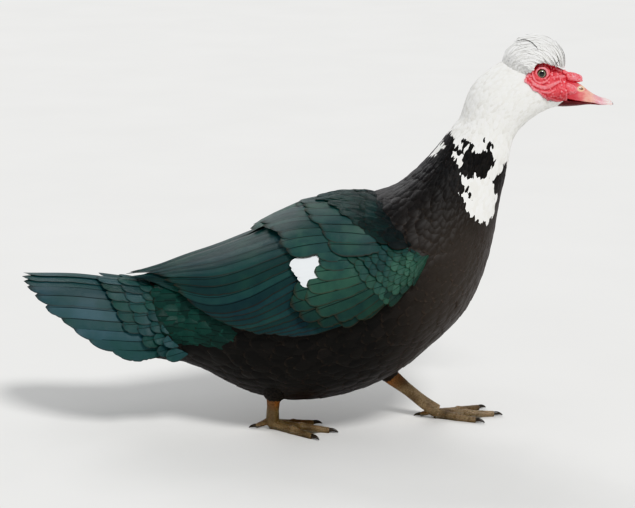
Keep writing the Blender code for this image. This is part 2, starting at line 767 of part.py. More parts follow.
def main():
    for old in list(bpy.data.objects):
        bpy.data.objects.remove(old)
    bird = bpy.data.collections.new("muscovy_duck")
    bpy.context.scene.collection.children.link(bird)

    def node(name, shape, colour, roughness):
        made = mesh_object(name, shape, bird)
        made.data.materials.append(material(name, colour, roughness))

    node("torso", torso(), (0.03, 0.022, 0.022), 0.6)
    node("neck", neck(), (0.25, 0.25, 0.25), 0.75)
    node("head", head(), (0.85, 0.84, 0.8), 0.8)
    node("crest", crest(), (0.87, 0.86, 0.83), 0.8)
    node("face", face(), (0.62, 0.045, 0.05), 0.45)
    node("bill_upper", upper_bill(), (0.72, 0.34, 0.33), 0.4)
    node("bill_lower", lower_bill(), (0.22, 0.03, 0.03), 0.45)
    node("tail", tail(), (0.035, 0.06, 0.07), 0.5)
    for name, side in SIDES.items():
        node(f"eye_{name}", eye_ball(side), (0.2, 0.2, 0.14), 0.05)
        node(f"wing_{name}", wing(side), (0.02, 0.075, 0.07), 0.4)
        node(f"thigh_{name}", thigh(name), (0.02, 0.018, 0.018), 0.7)
        node(f"leg_{name}", leg(name), (0.26, 0.19, 0.13), 0.55)
        for i, claw in enumerate(claws(name)):
            node(f"claw_{name}_{i + 1}", claw, (0.09, 0.085, 0.08), 0.35)


main()
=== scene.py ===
"""A Muscovy drake in mid stride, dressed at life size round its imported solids.

The bird faces +X, +Y is its left, +Z is up and the floor is Z = 0. Sizes are in millimetres, and mesh_of
scales them to metres. Its parts, from the skin out: one skin of the trunk, neck, head and thighs; a coat of
contour feathers over it; quills and coverts of the wings and the tail; plumes of the crest; the bare red
face, the bill, the eyes, the scaly feet and their claws.
"""

import json
import math

import bpy
import numpy as np
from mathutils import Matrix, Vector, noise

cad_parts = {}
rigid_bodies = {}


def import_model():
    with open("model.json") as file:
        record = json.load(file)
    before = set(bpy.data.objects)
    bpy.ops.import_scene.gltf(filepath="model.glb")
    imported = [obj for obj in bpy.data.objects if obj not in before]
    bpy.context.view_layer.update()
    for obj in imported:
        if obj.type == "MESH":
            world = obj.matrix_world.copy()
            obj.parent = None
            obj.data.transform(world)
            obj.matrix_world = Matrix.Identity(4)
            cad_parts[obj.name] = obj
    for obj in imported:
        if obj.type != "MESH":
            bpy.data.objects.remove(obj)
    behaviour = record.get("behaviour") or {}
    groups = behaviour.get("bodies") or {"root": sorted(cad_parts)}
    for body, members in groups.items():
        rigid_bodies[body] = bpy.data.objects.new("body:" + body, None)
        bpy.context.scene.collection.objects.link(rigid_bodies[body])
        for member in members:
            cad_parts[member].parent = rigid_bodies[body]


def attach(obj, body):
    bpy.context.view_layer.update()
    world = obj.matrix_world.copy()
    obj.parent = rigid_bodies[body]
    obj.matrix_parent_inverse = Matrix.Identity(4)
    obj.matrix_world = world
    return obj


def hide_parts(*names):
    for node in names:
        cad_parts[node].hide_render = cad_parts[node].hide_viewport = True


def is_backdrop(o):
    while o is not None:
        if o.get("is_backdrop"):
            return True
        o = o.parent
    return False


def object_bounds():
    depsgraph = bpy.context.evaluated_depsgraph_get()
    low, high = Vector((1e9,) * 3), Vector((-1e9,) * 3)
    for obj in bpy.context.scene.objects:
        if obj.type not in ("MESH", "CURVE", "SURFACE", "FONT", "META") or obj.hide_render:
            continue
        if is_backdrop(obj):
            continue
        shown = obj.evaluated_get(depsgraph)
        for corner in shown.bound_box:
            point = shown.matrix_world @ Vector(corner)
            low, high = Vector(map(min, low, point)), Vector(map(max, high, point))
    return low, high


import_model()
CAD_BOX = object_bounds()

MM = 0.001
RIGHT, LEFT = -1, 1
SIDES = {"right": RIGHT, "left": LEFT}
rng = np.random.default_rng(20)

# The trunk, neck and head, from the rump to the root of the bill. Each station is a flat section, given by
# its point on the back (x, z), its point on the belly or throat (x, z), and its half width.
BODY_STATIONS = (
    ((-174, 200), (-175, 93), 46),  # root of the tail
    ((-137, 219), (-135, 78), 58),  # rump
    ((-89, 241), (-82, 50), 76),  # loins
    ((-39, 267), (-18, 39), 90),  # belly, its lowest
    ((13, 288), (43, 49), 98),  # mid back
    ((59, 299), (99, 73), 98),  # shoulders
    ((94, 308), (144, 110), 93),  # breast
    ((118, 325), (184, 149), 82),  # crop
    ((138, 345), (208, 196), 68),
    ((152, 362), (222, 249), 54),  # base of the neck
    ((162, 375), (229, 295), 44),
    ((170, 387), (238, 338), 38),
    ((179, 397), (243, 370), 34),  # collar of the white hood
    ((184, 416), (255, 389), 33),
    ((193, 437), (267, 399), 34),  # cheeks
    ((212, 457), (279, 407), 32),
    ((238, 471), (287, 410), 28),  # back of the skull
    ((268, 476), (294, 412), 23.5),  # eyes
    ((292, 463), (300, 413), 18),  # forehead
    ((306, 447), (308, 414), 14.5),  # root of the bill
)
BODY_TABLE = np.array([(*back, *belly, half) for back, belly, half in BODY_STATIONS], float)
FACE_AT = len(BODY_STATIONS) - 1
STATION_STEP = 38.0  # about how far apart the stations lie

# Contour feathers by station: the station, their length, half width, pitch along and pitch across, how deep
# the root lies and how high the tip stands.
COAT_SIZES = (
    (0.0, 34, 10.0, 8.0, 8.2, 1.6, 0.3),
    (2.0, 34, 10.0, 8.0, 8.2, 1.6, 0.3),
    (5.5, 29, 9.0, 7.4, 7.6, 1.6, 0.2),
    (7.5, 24, 7.4, 6.2, 6.6, 1.3, 0.2),
    (9.0, 18, 3.8, 3.6, 3.4, 0.8, 0.1),
    (11.0, 15, 2.6, 2.9, 2.6, 0.5, 0.05),
    (13.0, 12, 2.4, 2.6, 2.4, 0.35, 0.0),
    (16.0, 10, 2.2, 2.3, 2.2, 0.3, 0.0),
    (19.0, 7, 1.8, 1.9, 1.9, 0.3, 0.0),
)
SHOWING = 0.85  # how far along a feather the middle of the part that shows lies
COAT_DEPTH = ((0, 3.5), (6, 3.5), (9, 2.8), (13, 2.2), (16, 1.6), (19, 1.2))  # of the skin under the solids

# White of the hood: the line under which the neck is black, as (x, z).
HOOD_EDGE = (
    (130, 392), (152, 384), (161, 380), (171, 365), (181, 361),
    (209, 358), (222, 350), (231, 330), (262, 322),
)  # fmt: skip
# Blotches, each an oval with centre x, z, half length, half width and tilt in degrees.
WHITE_BLOTCHES = (
    (205, 305, 28, 14, 112),  # front of the neck
    (208, 288, 16, 12, 100),
    (186, 296, 21, 4.2, -54),  # behind it
    (174, 350, 8, 3.8, -42),
    (143, 354, 6, 3.4, 50),  # flecks of the nape
    (151, 361, 7, 3.8, 50),
    (187, 323, 13, 5.5, -50),  # over the front of the neck
    (221, 338, 14, 7, 40),  # throat
    (176, 333, 4, 2.2, -30),
)
BLACK_BLOTCHES = (
    (184, 369, 8, 5, -30),
    (208, 369, 10, 4, -35),
    (232, 336, 3, 8, 0),
    (222, 309, 11, 3.2, -70),
    (157, 391, 5, 2, -30),
    (166, 388, 4, 1.8, -30),
)
# Swells of the markings' edges, as their size and how far they push the edge, and what is added to a point's
# x and z on the left side, so that its markings differ from those of the right.
EDGE_SWELLS = ((9, 3.2), (24, 3.0))
LEFT_SHIFT = (5, -6)

# Where the feathers of the flank are green, seen from the side, as (x, z).
GREEN_FLANK = (
    (-230, 130), (-230, 200), (-160, 190), (-128, 168), (-104, 152), (-98, 138), (-128, 124), (-165, 122),
)  # fmt: skip

# The folded wing is a sheet over the flank. Each station is x, the sheet's half width where its lower edge
# hangs, the height of that edge, the height of its top, and how far round it reaches, in degrees.
WING_STATIONS = (
    (-238, 18, 198, 204, 86),  # tips of the longest quills
    (-206, 31, 194, 211, 86),
    (-162, 52, 180, 227, 86),
    (-121, 73, 160, 241, 86),
    (-78, 91, 152, 258, 84),
    (-50, 102, 155, 273, 78),
    (-17, 108, 159, 288, 70),
    (45, 110, 168, 299, 58),
    (85, 106, 188, 296, 50),
    (118, 97, 214, 290, 44),
    (138, 86, 243, 272, 40),  # bend of the wing
)
WING_COVERS = (-150, 108)  # between these places in x the wing hides the coat
WING_COVERS_FROM = 24.0  # from this far over its lower edge
# x, and how far from the sheet the slab under the feathers starts.
WING_CORE = ((-140, -8.0), (-30, -8.0), (20, -3.0), (60, -1.0), (110, -1.5), (134, -5.0))

# Each tier of quills is a count, the roots of its first and last feathers, their tips, half the width of a
# feather, how far the roots stand off the sheet, and how far the first and the last tips do. Places are
# (x, across), with across 0 at the wing's lower edge and 1 at its upper edge.
QUILL_TIERS = {
    "primaries": (8, ((-70, 0.3), (-90, 0.7)), ((-196, 0.18), (-237, 0.72)), 11, -11, (-8, -5)),
    "secondaries": (10, ((38, 0.03), (0, 0.5)), ((-40, 0.0), (-156, 0.06)), 12, -4, (-7.4, -2)),
    "tertials": (8, ((-4, 0.54), (10, 1.0)), ((-168, 0.13), (-226, 0.92)), 13, -4, (-2.4, -3.0)),
    "white coverts": (5, ((30, 0.6), (34, 0.47)), ((-30, 0.5), (-17, 0.36)), 7, -1, (3.4, 3.0)),
    "scapulars": (7, ((70, 0.84), (74, 1.2)), ((-34, 0.62), (-78, 1.14)), 14, -3, (4.6, 3.6)),
    "inner scapulars": (7, ((96, 0.8), (92, 1.5)), ((16, 0.7), (-24, 1.28)), 14, -3, (6.2, 5.0)),
}
# Where each tier lies between the green, at 0, and the blue, at 1.
QUILL_HUES = {
    "primaries": 0.6,
    "secondaries": 0.85,
    "tertials": 0.65,
    "white coverts": 0.5,
    "scapulars": 0.5,
    "inner scapulars": 0.45,
}
# The greater and the median coverts: their tips from the top of the wing down, the root of the first and how
# far the last root lies from it, half the width of a feather, how high the first tip stands, their hue and
# how far it wanders, how dark the first is and how much darker the last, and the rows of points in each.
LARGE_COVERTS = (
    (
        ((-15, 0.38), (-25, 0.29), (-29, 0.2), (-18, 0.11), (4, 0.05), (30, 0.03), (54, 0.04)),
        ((48, 0.46), (56, -0.24)), 13, 2.8, (0.4, 0.1), (0.45, 0.5), 22,
    ),
    (
        ((2, 0.62), (5, 0.54), (0, 0.45), (-9, 0.34), (-11, 0.24), (2, 0.15), (24, 0.1), (48, 0.08)),
        ((56, 0.66), (54, -0.44)), 12, 4.6, (0.25, 0.15), (0.0, 0.8), 20,
    ),
)  # fmt: skip
TIP_JITTER = (2.6, 0.012)  # how far the tips of tertials and scapulars wander
QUILL_JITTER = (0.5, 0.003)  # and the tips of the other quills
MANTLE_PITCH = (7.5, 8.0)  # of the green-black feathers over the shoulders, along and across
MANTLE_EDGE = ((-20, 1.45), (10, 1.25), (45, 1.0), (75, 0.84), (110, 0.8))  # x, and across where they start
MANTLE_LENGTH = (27, 32)
MANTLE_WIDTH = 18.0
MANTLE_LIFT = ((60, 8.0), (90, 6.4), (130, 1.0))  # x, and how high their tips stand
COVERT_ROWS = 10
COVERT_PITCH = 13.5  # from one row of small coverts to the next
COVERT_SLANT = 84.0  # how much farther forward the rows start at the wing's lower edge
COVERT_ACROSS = 0.085  # from one covert of a row to the next
COVERT_FIRST = 16.0  # where the first row lies at the wing's upper edge
COVERT_LAST = 131.0  # no small covert ends farther forward

# The tail is a roof of long feathers. Each station is x, the height of its ridge, and the half width and
# the height of its arch.
TAIL_STATIONS = (
    (-365.5, 198, 62, 76),
    (-300, 197, 64, 75),
    (-240, 190, 60, 73),
    (-206, 186, 53, 73),
    (-175, 193, 44, 84),
)
TAIL_ROOT = -178.0
TAIL_FEATHER_HALF = 14.5
TAIL_CORE_ARC = 88  # the core reaches this many degrees down each side of the ridge
TAIL_LAP = 0.09
# Each pair of tail feathers, from the middle out, is its place round the arch in degrees and its tip in x.
TAIL_FEATHERS = (
    (5, -365.5), (15, -362), (25, -356), (37, -345), (50, -331),
    (61, -311), (70, -296), (79, -278), (88, -250),
)  # fmt: skip
MIDDLE_LIFTS = {RIGHT: 1.1, LEFT: 2.7}  # the left feather of the middle pair lies over the right one
# Tiers of tail coverts on each side, with places as (x, degrees from the ridge).
TAIL_COVERTS = (
    (6, ((-190, 9), (-184, 58)), ((-272, 9), (-236, 64)), 11, -6, (6.0, 4.2)),
    (7, ((-182, 8), (-178, 74)), ((-246, 9), (-212, 78)), 10.5, -4, (7.4, 5.2)),
    (8, ((-172, 6), (-170, 84)), ((-222, 7), (-194, 88)), 10, -3, (8.6, 5.8)),
    (8, ((-160, 4), (-158, 88)), ((-203, 5), (-184, 92)), 9.5, -2, (9.0, 6.0)),
)
UNDER_COVERTS = (
    (7, ((-176, -70), (-176, 70)), ((-262, -60), (-262, 60)), 12, -26, (-9, -9)),
    (8, ((-172, -80), (-172, 80)), ((-226, -76), (-226, 76)), 12, -30, (-20, -20)),
)
RIM_ANGLE = math.radians(55)  # faces that meet at more than this form a rim
BARB_SLANT = 0.32  # how far forward a barb runs, as a share of how far out
RISE = 32.0  # a quill leaves the wing or the tail over this length
QUILL_THICKNESS = 0.6
QUILL_SOOT = 0.55  # how dark a quill may be by chance, from 0 to 1
LAP = 0.09  # one edge of a quill is raised by this share of its half width, and the other lowered

# The crest's outline is a distance from its centre at each angle, from 0 at the forehead, over the crown,
# to 180 at the nape.
CREST_CENTRE = np.array([264.0, 0, 460.0])
CREST_OUTLINE = (
    (-12, 41), (15, 43), (35, 42), (60, 40), (95, 40), (115, 39.5), (135, 36), (155, 37), (195, 44),
)  # fmt: skip
CREST_HALF_WIDTH = 31.0
CREST_CORE = ((266.5, 0, 474.0), (31.5, 19.5, 21.5))  # its centre and radii
# How much farther than its solid the crest's plumes stand out, by angle.
CREST_RISE = ((-10, 0.5), (20, 1.5), (40, 2.5), (60, 2.0), (100, 1.0), (150, 0.5))
# How deep the tips of its last plumes sink into the hood, as a list of angles and one of depths.
CREST_SINK = ((150, 200), (0.0, 10.0))
# Fine dark plumes among the white ones, on the right, as paths of (x, z): painted shade along the parting
# between two tufts.
PARTING_SHADE_PATHS = (
    ((269, 484.5), (265.5, 489.5), (259.5, 494.3), (252, 496), (246, 494)),
    ((290, 467), (294, 471.5)),
)
PLUME_ARC = (38, 56)  # how many degrees of the crest a plume spans
PLUME_WIDTH = (5.4, 8.2)
CREST_PITCH = (3.3, 3.5)  # of the plumes' roots, in degrees of angle and of turn
CREST_ROOT_FLOOR = 448.0  # no plume is rooted lower than this
CREST_TIP_FLOOR = (437.0, 447.0)  # nor ends lower than a height between these

# The bare red mask, seen from the side, from its back corner over the eye to the bill and back.
MASK_OUTLINE = (
    (254, 448), (259, 455), (264, 465), (269, 469), (276, 470), (283, 467), (292, 463), (300, 460),
    (312, 458), (312, 420.5), (293, 420.5), (284, 423.5), (279, 428), (273, 433), (267, 437), (261, 442),
)  # fmt: skip
MASK_RIM = MASK_OUTLINE[11:] + MASK_OUTLINE[:7]  # from the jaw round the back of the eye to the brow
MASK_RELIEF = 2.0
MASK_AT = 15.7  # the station at which the bare skin starts, under the feathers
RIM_STEP = 3.3  # from one bulb of the mask's rim to the next
EYE_X, EYE_Z = 274.0, 456.0
EYE_RADIUS = 8.0
EYE_OFFSET = 19.5
CORNEA_FROM = 0.78  # the share of the eye's radius, outward, where the cornea starts to rise
CORNEA_RISE = 0.5
LID_RING = 7.0
LID_THICKNESS = 1.5
# Rings of skin round each eye, from the lid's edge out: how much wider than it, how far in, and the radius.
LIDS = ((0.0, 0.0, LID_THICKNESS), (0.8, 2.2, 2.0), (1.6, 4.4, 2.4))
EYE_BAG_RING = 11.0
EYE_BAG_ARC = (150, 335)  # where the fold under the eye starts and ends, in degrees round it
RING_POINTS = 40

# Folds of the bare skin on each side, as (x, z, radius) along each.
FOLDS = {
    "brow": (
        (262, 463, 2.0), (270, 467.5, 2.8), (279, 466, 2.8), (288, 462, 3.0),
        (297, 456.5, 3.2), (305, 453, 3.6), (312, 450.5, 3.0),
    ),
    "lore": ((285, 450, 1.6), (292, 450.5, 2.6), (300, 450, 3.0), (307, 447.5, 3.0)),
    "cheek": (
        (260, 449, 1.8), (266, 443.5, 3.0), (274, 440, 3.6),
        (282, 440, 3.4), (290, 443.5, 3.0), (298, 445.5, 2.2),
    ),
    "jaw": ((268, 437.5, 1.8), (276, 434.5, 2.6), (284, 434, 2.8), (291, 437, 2.0)),
    "gape": ((282, 428, 2.0), (289, 424.5, 2.6), (296, 422.5, 2.6), (302, 422, 1.4)),
    "chin": ((284, 432, 1.6), (288, 429, 2.2), (294, 427.5, 1.8)),
}  # fmt: skip
# Lobes over the root of the bill, as centre, radii and tilt: the knob, its tip, and one on each side.
KNOB = (((313.5, 0, 448.2), (13, 8.2, 6.0), -7), ((321.5, 0, 447.0), (5.6, 6.2, 4.9), -6))
SIDE_LOBE = ((303, 11, 435.5), (17, 5.4, 8.2), -8)
KNOB_BULBS = 34
FACE_BULBS = 120  # tries at a small bulb between the folds, on each side
FACE_SWELLS = ((2.2, 0.22), (5.5, 0.3))
RIM_BULB = (1.7, 2.9)  # least and greatest radius
FACE_BULB = (1.0, 1.9)
EYE_CLEARING = 10.5  # no bulb lies nearer to the middle of the eye

# Each station of a half of the bill is x, the heights of its top and of its bottom, and its half width.
UPPER_BILL = (
    (307, 446, 424, 14),
    (316, 444, 422, 13.5),
    (326, 439, 420.5, 13),
    (333, 433.5, 419.5, 12.5),
    (341, 428, 418, 12.3),
    (350, 424, 416.2, 12.5),
    (358, 422, 415.7, 11.5),
    (363, 419.6, 415.1, 8.5),
    (365.5, 416.8, 414.3, 4),
)
LOWER_BILL = (
    (291.3, 422, 412.8, 11),
    (305, 422, 412.3, 12),
    (320, 420.8, 413.2, 11.5),
    (336, 419, 415, 10.4),
    (349, 417, 414.4, 9.2),
    (358, 416, 414.4, 5.8),
)
# Centre and radii of the gape's lining and of the tongue.
MOUTH = (((299, 0, 423.5), (13, 12, 5.0)), ((322, 0, 420.3), (30, 8, 1.7)))
BILL_ROOT = (297, 445, 425, 12.5)  # the first station of the upper bill, inside the face
NOSTRIL_X, NOSTRIL_Z = 324.5, 435.5
NOSTRIL_RADII = (3.2, 1.9)
NOSTRIL_TILT = -20.0
NOSTRIL_RIM = (0.7, 0.75)  # how far outside the opening its rim lies, and the rim's radius
COMB_PITCH = 0.9  # of the plates along the bill's inner edge
NAIL = ((360.5, 0, 417), (5.5, 5, 2.6), -22)
DOME = 0.8  # how square a section of the bill is

# A leg is a path of (x, distance from the midline, z, radius), from inside the thigh down to the foot.
LEGS = {
    "right": {
        "thigh": ((-42, 38, 112, 27), (-46, 37, 84, 24), (-49, 35, 66, 20), (-49, 32, 49, 13)),
        "shank": (
            (-48, 36, 76, 9), (-49, 33, 62, 10.5), (-51, 29, 50, 9.5), (-52, 22, 34, 8),
            (-53, 15, 18, 8.3), (-53, 11, 7, 9),
        ),
        "foot": (-53.0, -10.0),
        "heading": -14.0,
    },
    "left": {
        "thigh": ((52, 34, 128, 32), (74, 33, 94, 25), (90, 32, 70, 18), (97, 31, 58, 13)),
        "shank": (
            (88, 32, 74, 9), (97, 31, 58, 10.5), (107, 31, 49, 9.5), (122, 30, 37, 8),
            (140, 30, 22, 8.2), (158, 30, 9, 9),
        ),
        "foot": (159.0, 30.0),
        "heading": 4.0,
    },
}  # fmt: skip
THIGH_DEPTH = 3.0  # of the thigh's skin under its solid
THIGH_RINGS = 24  # of the skin
THIGH_STEPS = 60  # places along a thigh, of which every other one has a ring of feathers
THIGH_FIRST = 14  # the first of them outside the belly
THIGH_FEATHER = (14, 8, 14)
THIGH_PITCH = 4.4
FEATHERED = {"right": 0.78, "left": 0.9}  # the share of each thigh that feathers cover
TOES = ((25, 66, 6.0), (0, 76, 6.4), (-26, 54, 6.0))  # angle from the foot's heading, length, radius
# Share of a toe's length, height, and share of its radius.
TOE_PATH = (
    (-0.04, 5.5, 1.15), (0.15, 5.2, 1.0), (0.42, 4.2, 0.88),
    (0.5, 4.4, 0.98), (0.6, 3.9, 0.82), (0.98, 3, 0.6),
)  # fmt: skip
HIND_TOE_PATH = ((3, 11, 4.6), (12, 6.5, 3.8), (22, 2.6, 2.8))  # out from the foot, height, radius
WEB_THICKNESS = 1.6
SCUTE_PITCH = 3.2
SCUTE_GROOVE = 0.28  # how deep the groove between two scutes is
HIND_TOE_ANGLE = 165.0
CLAW_LENGTH = 12.0
HIND_CLAW_REACH = 19.0  # from the middle of the foot to the root of the hind claw
CLAW_PATH = ((0, 0.2, 2.6), (0.4, 0.5, 2.3), (0.75, -0.5, 1.5), (1, -2.2, 0.5))

# The photograph's view and its light, with sizes in metres.
FLOOR_HALF = 6
SKY_COLOUR = "#e9ebee"
SKY_STRENGTH = 0.66
CAMERA_AIM = (0.004, 0, 0.226)
CAMERA_DISTANCE = 2.2
CAMERA_ELEVATION = 14.0
PHOTO_WIDTH = 635  # in pixels
PIXEL_SIZE = 0.00125  # of one pixel at the bird
SENSOR_WIDTH = 36.0  # in millimetres
# Each light is a name, the side that it comes from, how wide it is in degrees, and its strength.
LIGHTS = (("key", (0.75, -1.5, 2.0), 14, 1.95), ("rim", (-0.9, 1.6, 1.4), 30, 0.8))


# Curves and surfaces that the parts sit on.


def unit(directions):
    """The directions at a length of 1."""
    return directions / np.linalg.norm(directions, axis=-1, keepdims=True)


def rows_at(table, t):
    """Rows of a table at places t, counted in rows, on a smooth curve through all of them."""
    table = np.asarray(table, float)
    t = np.asarray(t, float)
    padded = np.concatenate([[2 * table[0] - table[1]], table, [2 * table[-1] - table[-2]]])
    i = np.clip(np.floor(t).astype(int), 0, len(table) - 2)
    f = (t - i)[..., None]
    p0, p1, p2, p3 = (padded[i + k] for k in range(4))
    bend = (2 * p0 - 5 * p1 + 4 * p2 - p3) * f**2 + (3 * p1 - p0 - 3 * p2 + p3) * f**3
    return 0.5 * (2 * p1 + (p2 - p0) * f + bend)


def rows_by_first(table, x):
    """Rows of a table whose first column rises, at values x of that column."""
    table = np.asarray(table, float)
    knots = table[:, 0]
    x = np.clip(x, knots[0], knots[-1])
    i = np.clip(np.searchsorted(knots, x) - 1, 0, len(knots) - 2)
    return rows_at(table, i + (x - knots[i]) / (knots[i + 1] - knots[i]))


def knots_at(table, x):
    """Values of a table's other columns where the first is x, on straight lines between the rows."""
    table = np.asarray(table, float)
    return [np.interp(x, table[:, 0], table[:, k]) for k in range(1, table.shape[1])]


def body_point(t, angle, lift=0.0):
    """A point of the body at station t and angle, in degrees: 0 is left, 90 the back and 270 the belly."""
    t = np.asarray(t, float)
    clamped = np.maximum(t, 0)
    back_x, back_z, belly_x, belly_z, half = np.moveaxis(rows_at(BODY_TABLE, clamped), -1, 0)
    zero = np.zeros_like(back_x)
    up = np.stack([back_x - belly_x, zero, back_z - belly_z], -1) / 2
    height = np.linalg.norm(up, axis=-1)
    a = np.radians(angle)
    centre = np.stack([back_x + belly_x, zero, back_z + belly_z], -1) / 2
    centre[..., 0] += np.minimum(t, 0) * STATION_STEP  # past the rump the body runs straight on
    across = np.stack([zero, np.cos(a) * (half + lift), zero], -1)
    return centre + across + up * (np.sin(a) * (height + lift) / height)[..., None]


def body_out(t, angle):
    """The direction out of the body there."""
    along = body_point(t + 0.02, angle) - body_point(t - 0.02, angle)
    around = body_point(t, angle + 0.5) - body_point(t, angle - 0.5)
    out = unit(np.cross(around, along))
    middle = body_point(t, 90.0 + 0 * angle) / 2 + body_point(t, 270.0 + 0 * angle) / 2
    flip = np.sign(np.sum(out * (body_point(t, angle) - middle), -1, keepdims=True))
    return out * flip


def wing_point(side, x, across, lift=0.0):
    """A point of the folded wing's sheet: across runs from 0, its lower edge, to 1, its upper edge."""
    _, half, low, top, reach = np.moveaxis(rows_by_first(WING_STATIONS, x), -1, 0)
    angle = np.radians(reach) * across
    outward = np.stack([0 * angle, np.cos(angle) * (top - low), np.sin(angle) * half], -1)
    point = np.stack([x + 0 * angle, half * np.cos(angle), low + (top - low) * np.sin(angle)], -1)
    return (point + unit(outward) * np.asarray(lift)[..., None]) * (1, side, 1)


def tail_point(x, turn, lift=0.0):
    """A point of the tail's arch at turn degrees from its ridge, stood out by lift."""
    _, ridge, half, arch = np.moveaxis(rows_by_first(TAIL_STATIONS, x), -1, 0)
    a = np.radians(turn)
    return np.stack([x + 0 * a, np.sin(a) * (half + lift), ridge - arch + np.cos(a) * (arch + lift)], -1)


def crest_point(angle, turn, lift=0.0):
    """A point of the crest's outline at an angle from the forehead and turned to one side."""
    radius = np.interp(angle, *zip(*CREST_OUTLINE)) + lift
    a, b = np.radians(angle), np.radians(turn)
    reach = np.stack([np.cos(a) * radius * np.cos(b), (CREST_HALF_WIDTH + lift) * np.sin(b)], -1)
    return CREST_CENTRE + np.stack([reach[..., 0], reach[..., 1], np.sin(a) * radius * np.cos(b)], -1)


# Meshes.


class Shape:
    """Points with quads and triangles, and marks that ride on the points into the mesh as attributes."""

    def __init__(self, points, quads=(), tris=(), **marks):
        self.points = np.asarray(points, float)
        self.quads = np.asarray(quads, int).reshape(-1, 4)
        self.tris = np.asarray(tris, int).reshape(-1, 3)
        self.marks = {name: np.asarray(values, float) for name, values in marks.items()}

    def volume(self):
        """Six times the volume inside, which is less than 0 where the faces point in."""
        tris = np.concatenate([self.quads[:, [0, 1, 2]], self.quads[:, [0, 2, 3]], self.tris])
        a, b, c = (self.points[tris[:, k]] for k in range(3))
        return np.einsum("ij,ij->i", a, np.cross(b, c)).sum()

    def facing_out(self):
        """The shape, with its faces turned round if they point in."""
        if self.volume() < 0:
            self.quads, self.tris = self.quads[:, ::-1], self.tris[:, ::-1]
        return self


def gathered(shapes):
    """Several shapes as one."""
    starts = np.cumsum([0] + [len(s.points) for s in shapes])
    quads = [s.quads + start for s, start in zip(shapes, starts)]
    tris = [s.tris + start for s, start in zip(shapes, starts)]
    marks = {name: np.concatenate([s.marks[name] for s in shapes]) for name in shapes[0].marks}
    points = np.concatenate([s.points for s in shapes])
    return Shape(points, np.concatenate(quads), np.concatenate(tris), **marks)


def loft(rings, folded=False, **marks):
    """A closed shape through an array of rings.

    A folded ring runs out along one face of a thin shape and back along the other.
    """
    rings = np.asarray(rings, float)
    m, n = rings.shape[:2]
    index = np.arange(m * n).reshape(m, n)
    a, b = index[:-1], np.roll(index[:-1], -1, 1)
    c, d = np.roll(index[1:], -1, 1), index[1:]
    quads = np.stack([a, b, c, d], -1).reshape(-1, 4)
    points, tris = rings.reshape(-1, 3), []
    if folded:
        half = n // 2
        for ring, turn in ((index[0], 1), (index[-1], -1)):
            caps = [(ring[j], ring[n - j], ring[n - j - 1], ring[j + 1])[::turn] for j in range(1, half - 1)]
            quads = np.concatenate([quads, np.reshape(caps, (-1, 4)).astype(int)])
            tris.append((ring[0], ring[n - 1], ring[1])[::turn])
            tris.append((ring[half], ring[half - 1], ring[half + 1])[::turn])
    else:
        points = np.concatenate([points, [rings[0].mean(0), rings[-1].mean(0)]])
        first, last = m * n, m * n + 1
        for j in range(n):
            k = (j + 1) % n
            tris += [(first, index[0, k], index[0, j]), (last, index[-1, j], index[-1, k])]
    return Shape(points, quads, tris, **marks).facing_out()


def tube(path, radii, segments=16, side=(0, 1, 0), flat=1.0):
    """A closed tube on a smooth curve through path. Its thickness along side is multiplied by flat."""
    path, radii = np.array(path, float), np.array(radii, float)
    ahead = unit(np.gradient(path, axis=0))
    across = unit(np.array(side, float) - ahead * (ahead @ np.array(side, float))[:, None])
    up = np.cross(ahead, across)
    angles = 2 * math.pi * np.arange(segments) / segments
    rim = np.cos(angles)[None, :, None] * flat * across[:, None] + np.sin(angles)[None, :, None] * up[:, None]
    return loft(path[:, None] + radii[:, None, None] * rim)


def ellipsoid(centre, radii, around=24, rows=14, tilt=0.0):
    """A closed ball stretched to three radii, its nose along X tipped up by tilt degrees."""
    polars = math.pi * np.linspace(0.02, 0.98, rows)
    angles = 2 * math.pi * np.arange(around) / around
    rim = np.stack([np.zeros(around), np.cos(angles), np.sin(angles)], 1)
    middles = np.stack([np.cos(polars), 0 * polars, 0 * polars], 1)
    rings = np.sin(polars)[:, None, None] * rim + middles[:, None]
    rings *= np.array(radii, float)
    c, s = math.cos(math.radians(tilt)), math.sin(math.radians(tilt))
    return loft(rings @ np.array([[c, 0, s], [0, 1, 0], [-s, 0, c]]) + np.array(centre, float))


def run_along(path):
    """How far along a path each of its points lies."""
    return np.concatenate([[0], np.cumsum(np.linalg.norm(np.diff(path, axis=0), axis=1))])


def smooth_path(rows, count):
    """Points at even steps along a smooth curve through the rows."""
    return rows_at(rows, np.linspace(0, len(rows) - 1, count))


def placed(mesh, points):
    """The mesh with its points at places in millimetres."""
    mesh.vertices.foreach_set("co", (points * MM).astype(np.float32).ravel())
    mesh.update()
    return mesh


def noted(mesh, data_type="FLOAT", **marks):
    """The mesh with a value or a vector for each point under each name."""
    field = "vector" if data_type == "FLOAT_VECTOR" else "value"
    number = np.int32 if data_type == "INT" else np.float32
    for name, values in marks.items():
        attribute = mesh.attributes.new(name, data_type, "POINT")
        attribute.data.foreach_set(field, np.asarray(values, number).ravel())
    return mesh


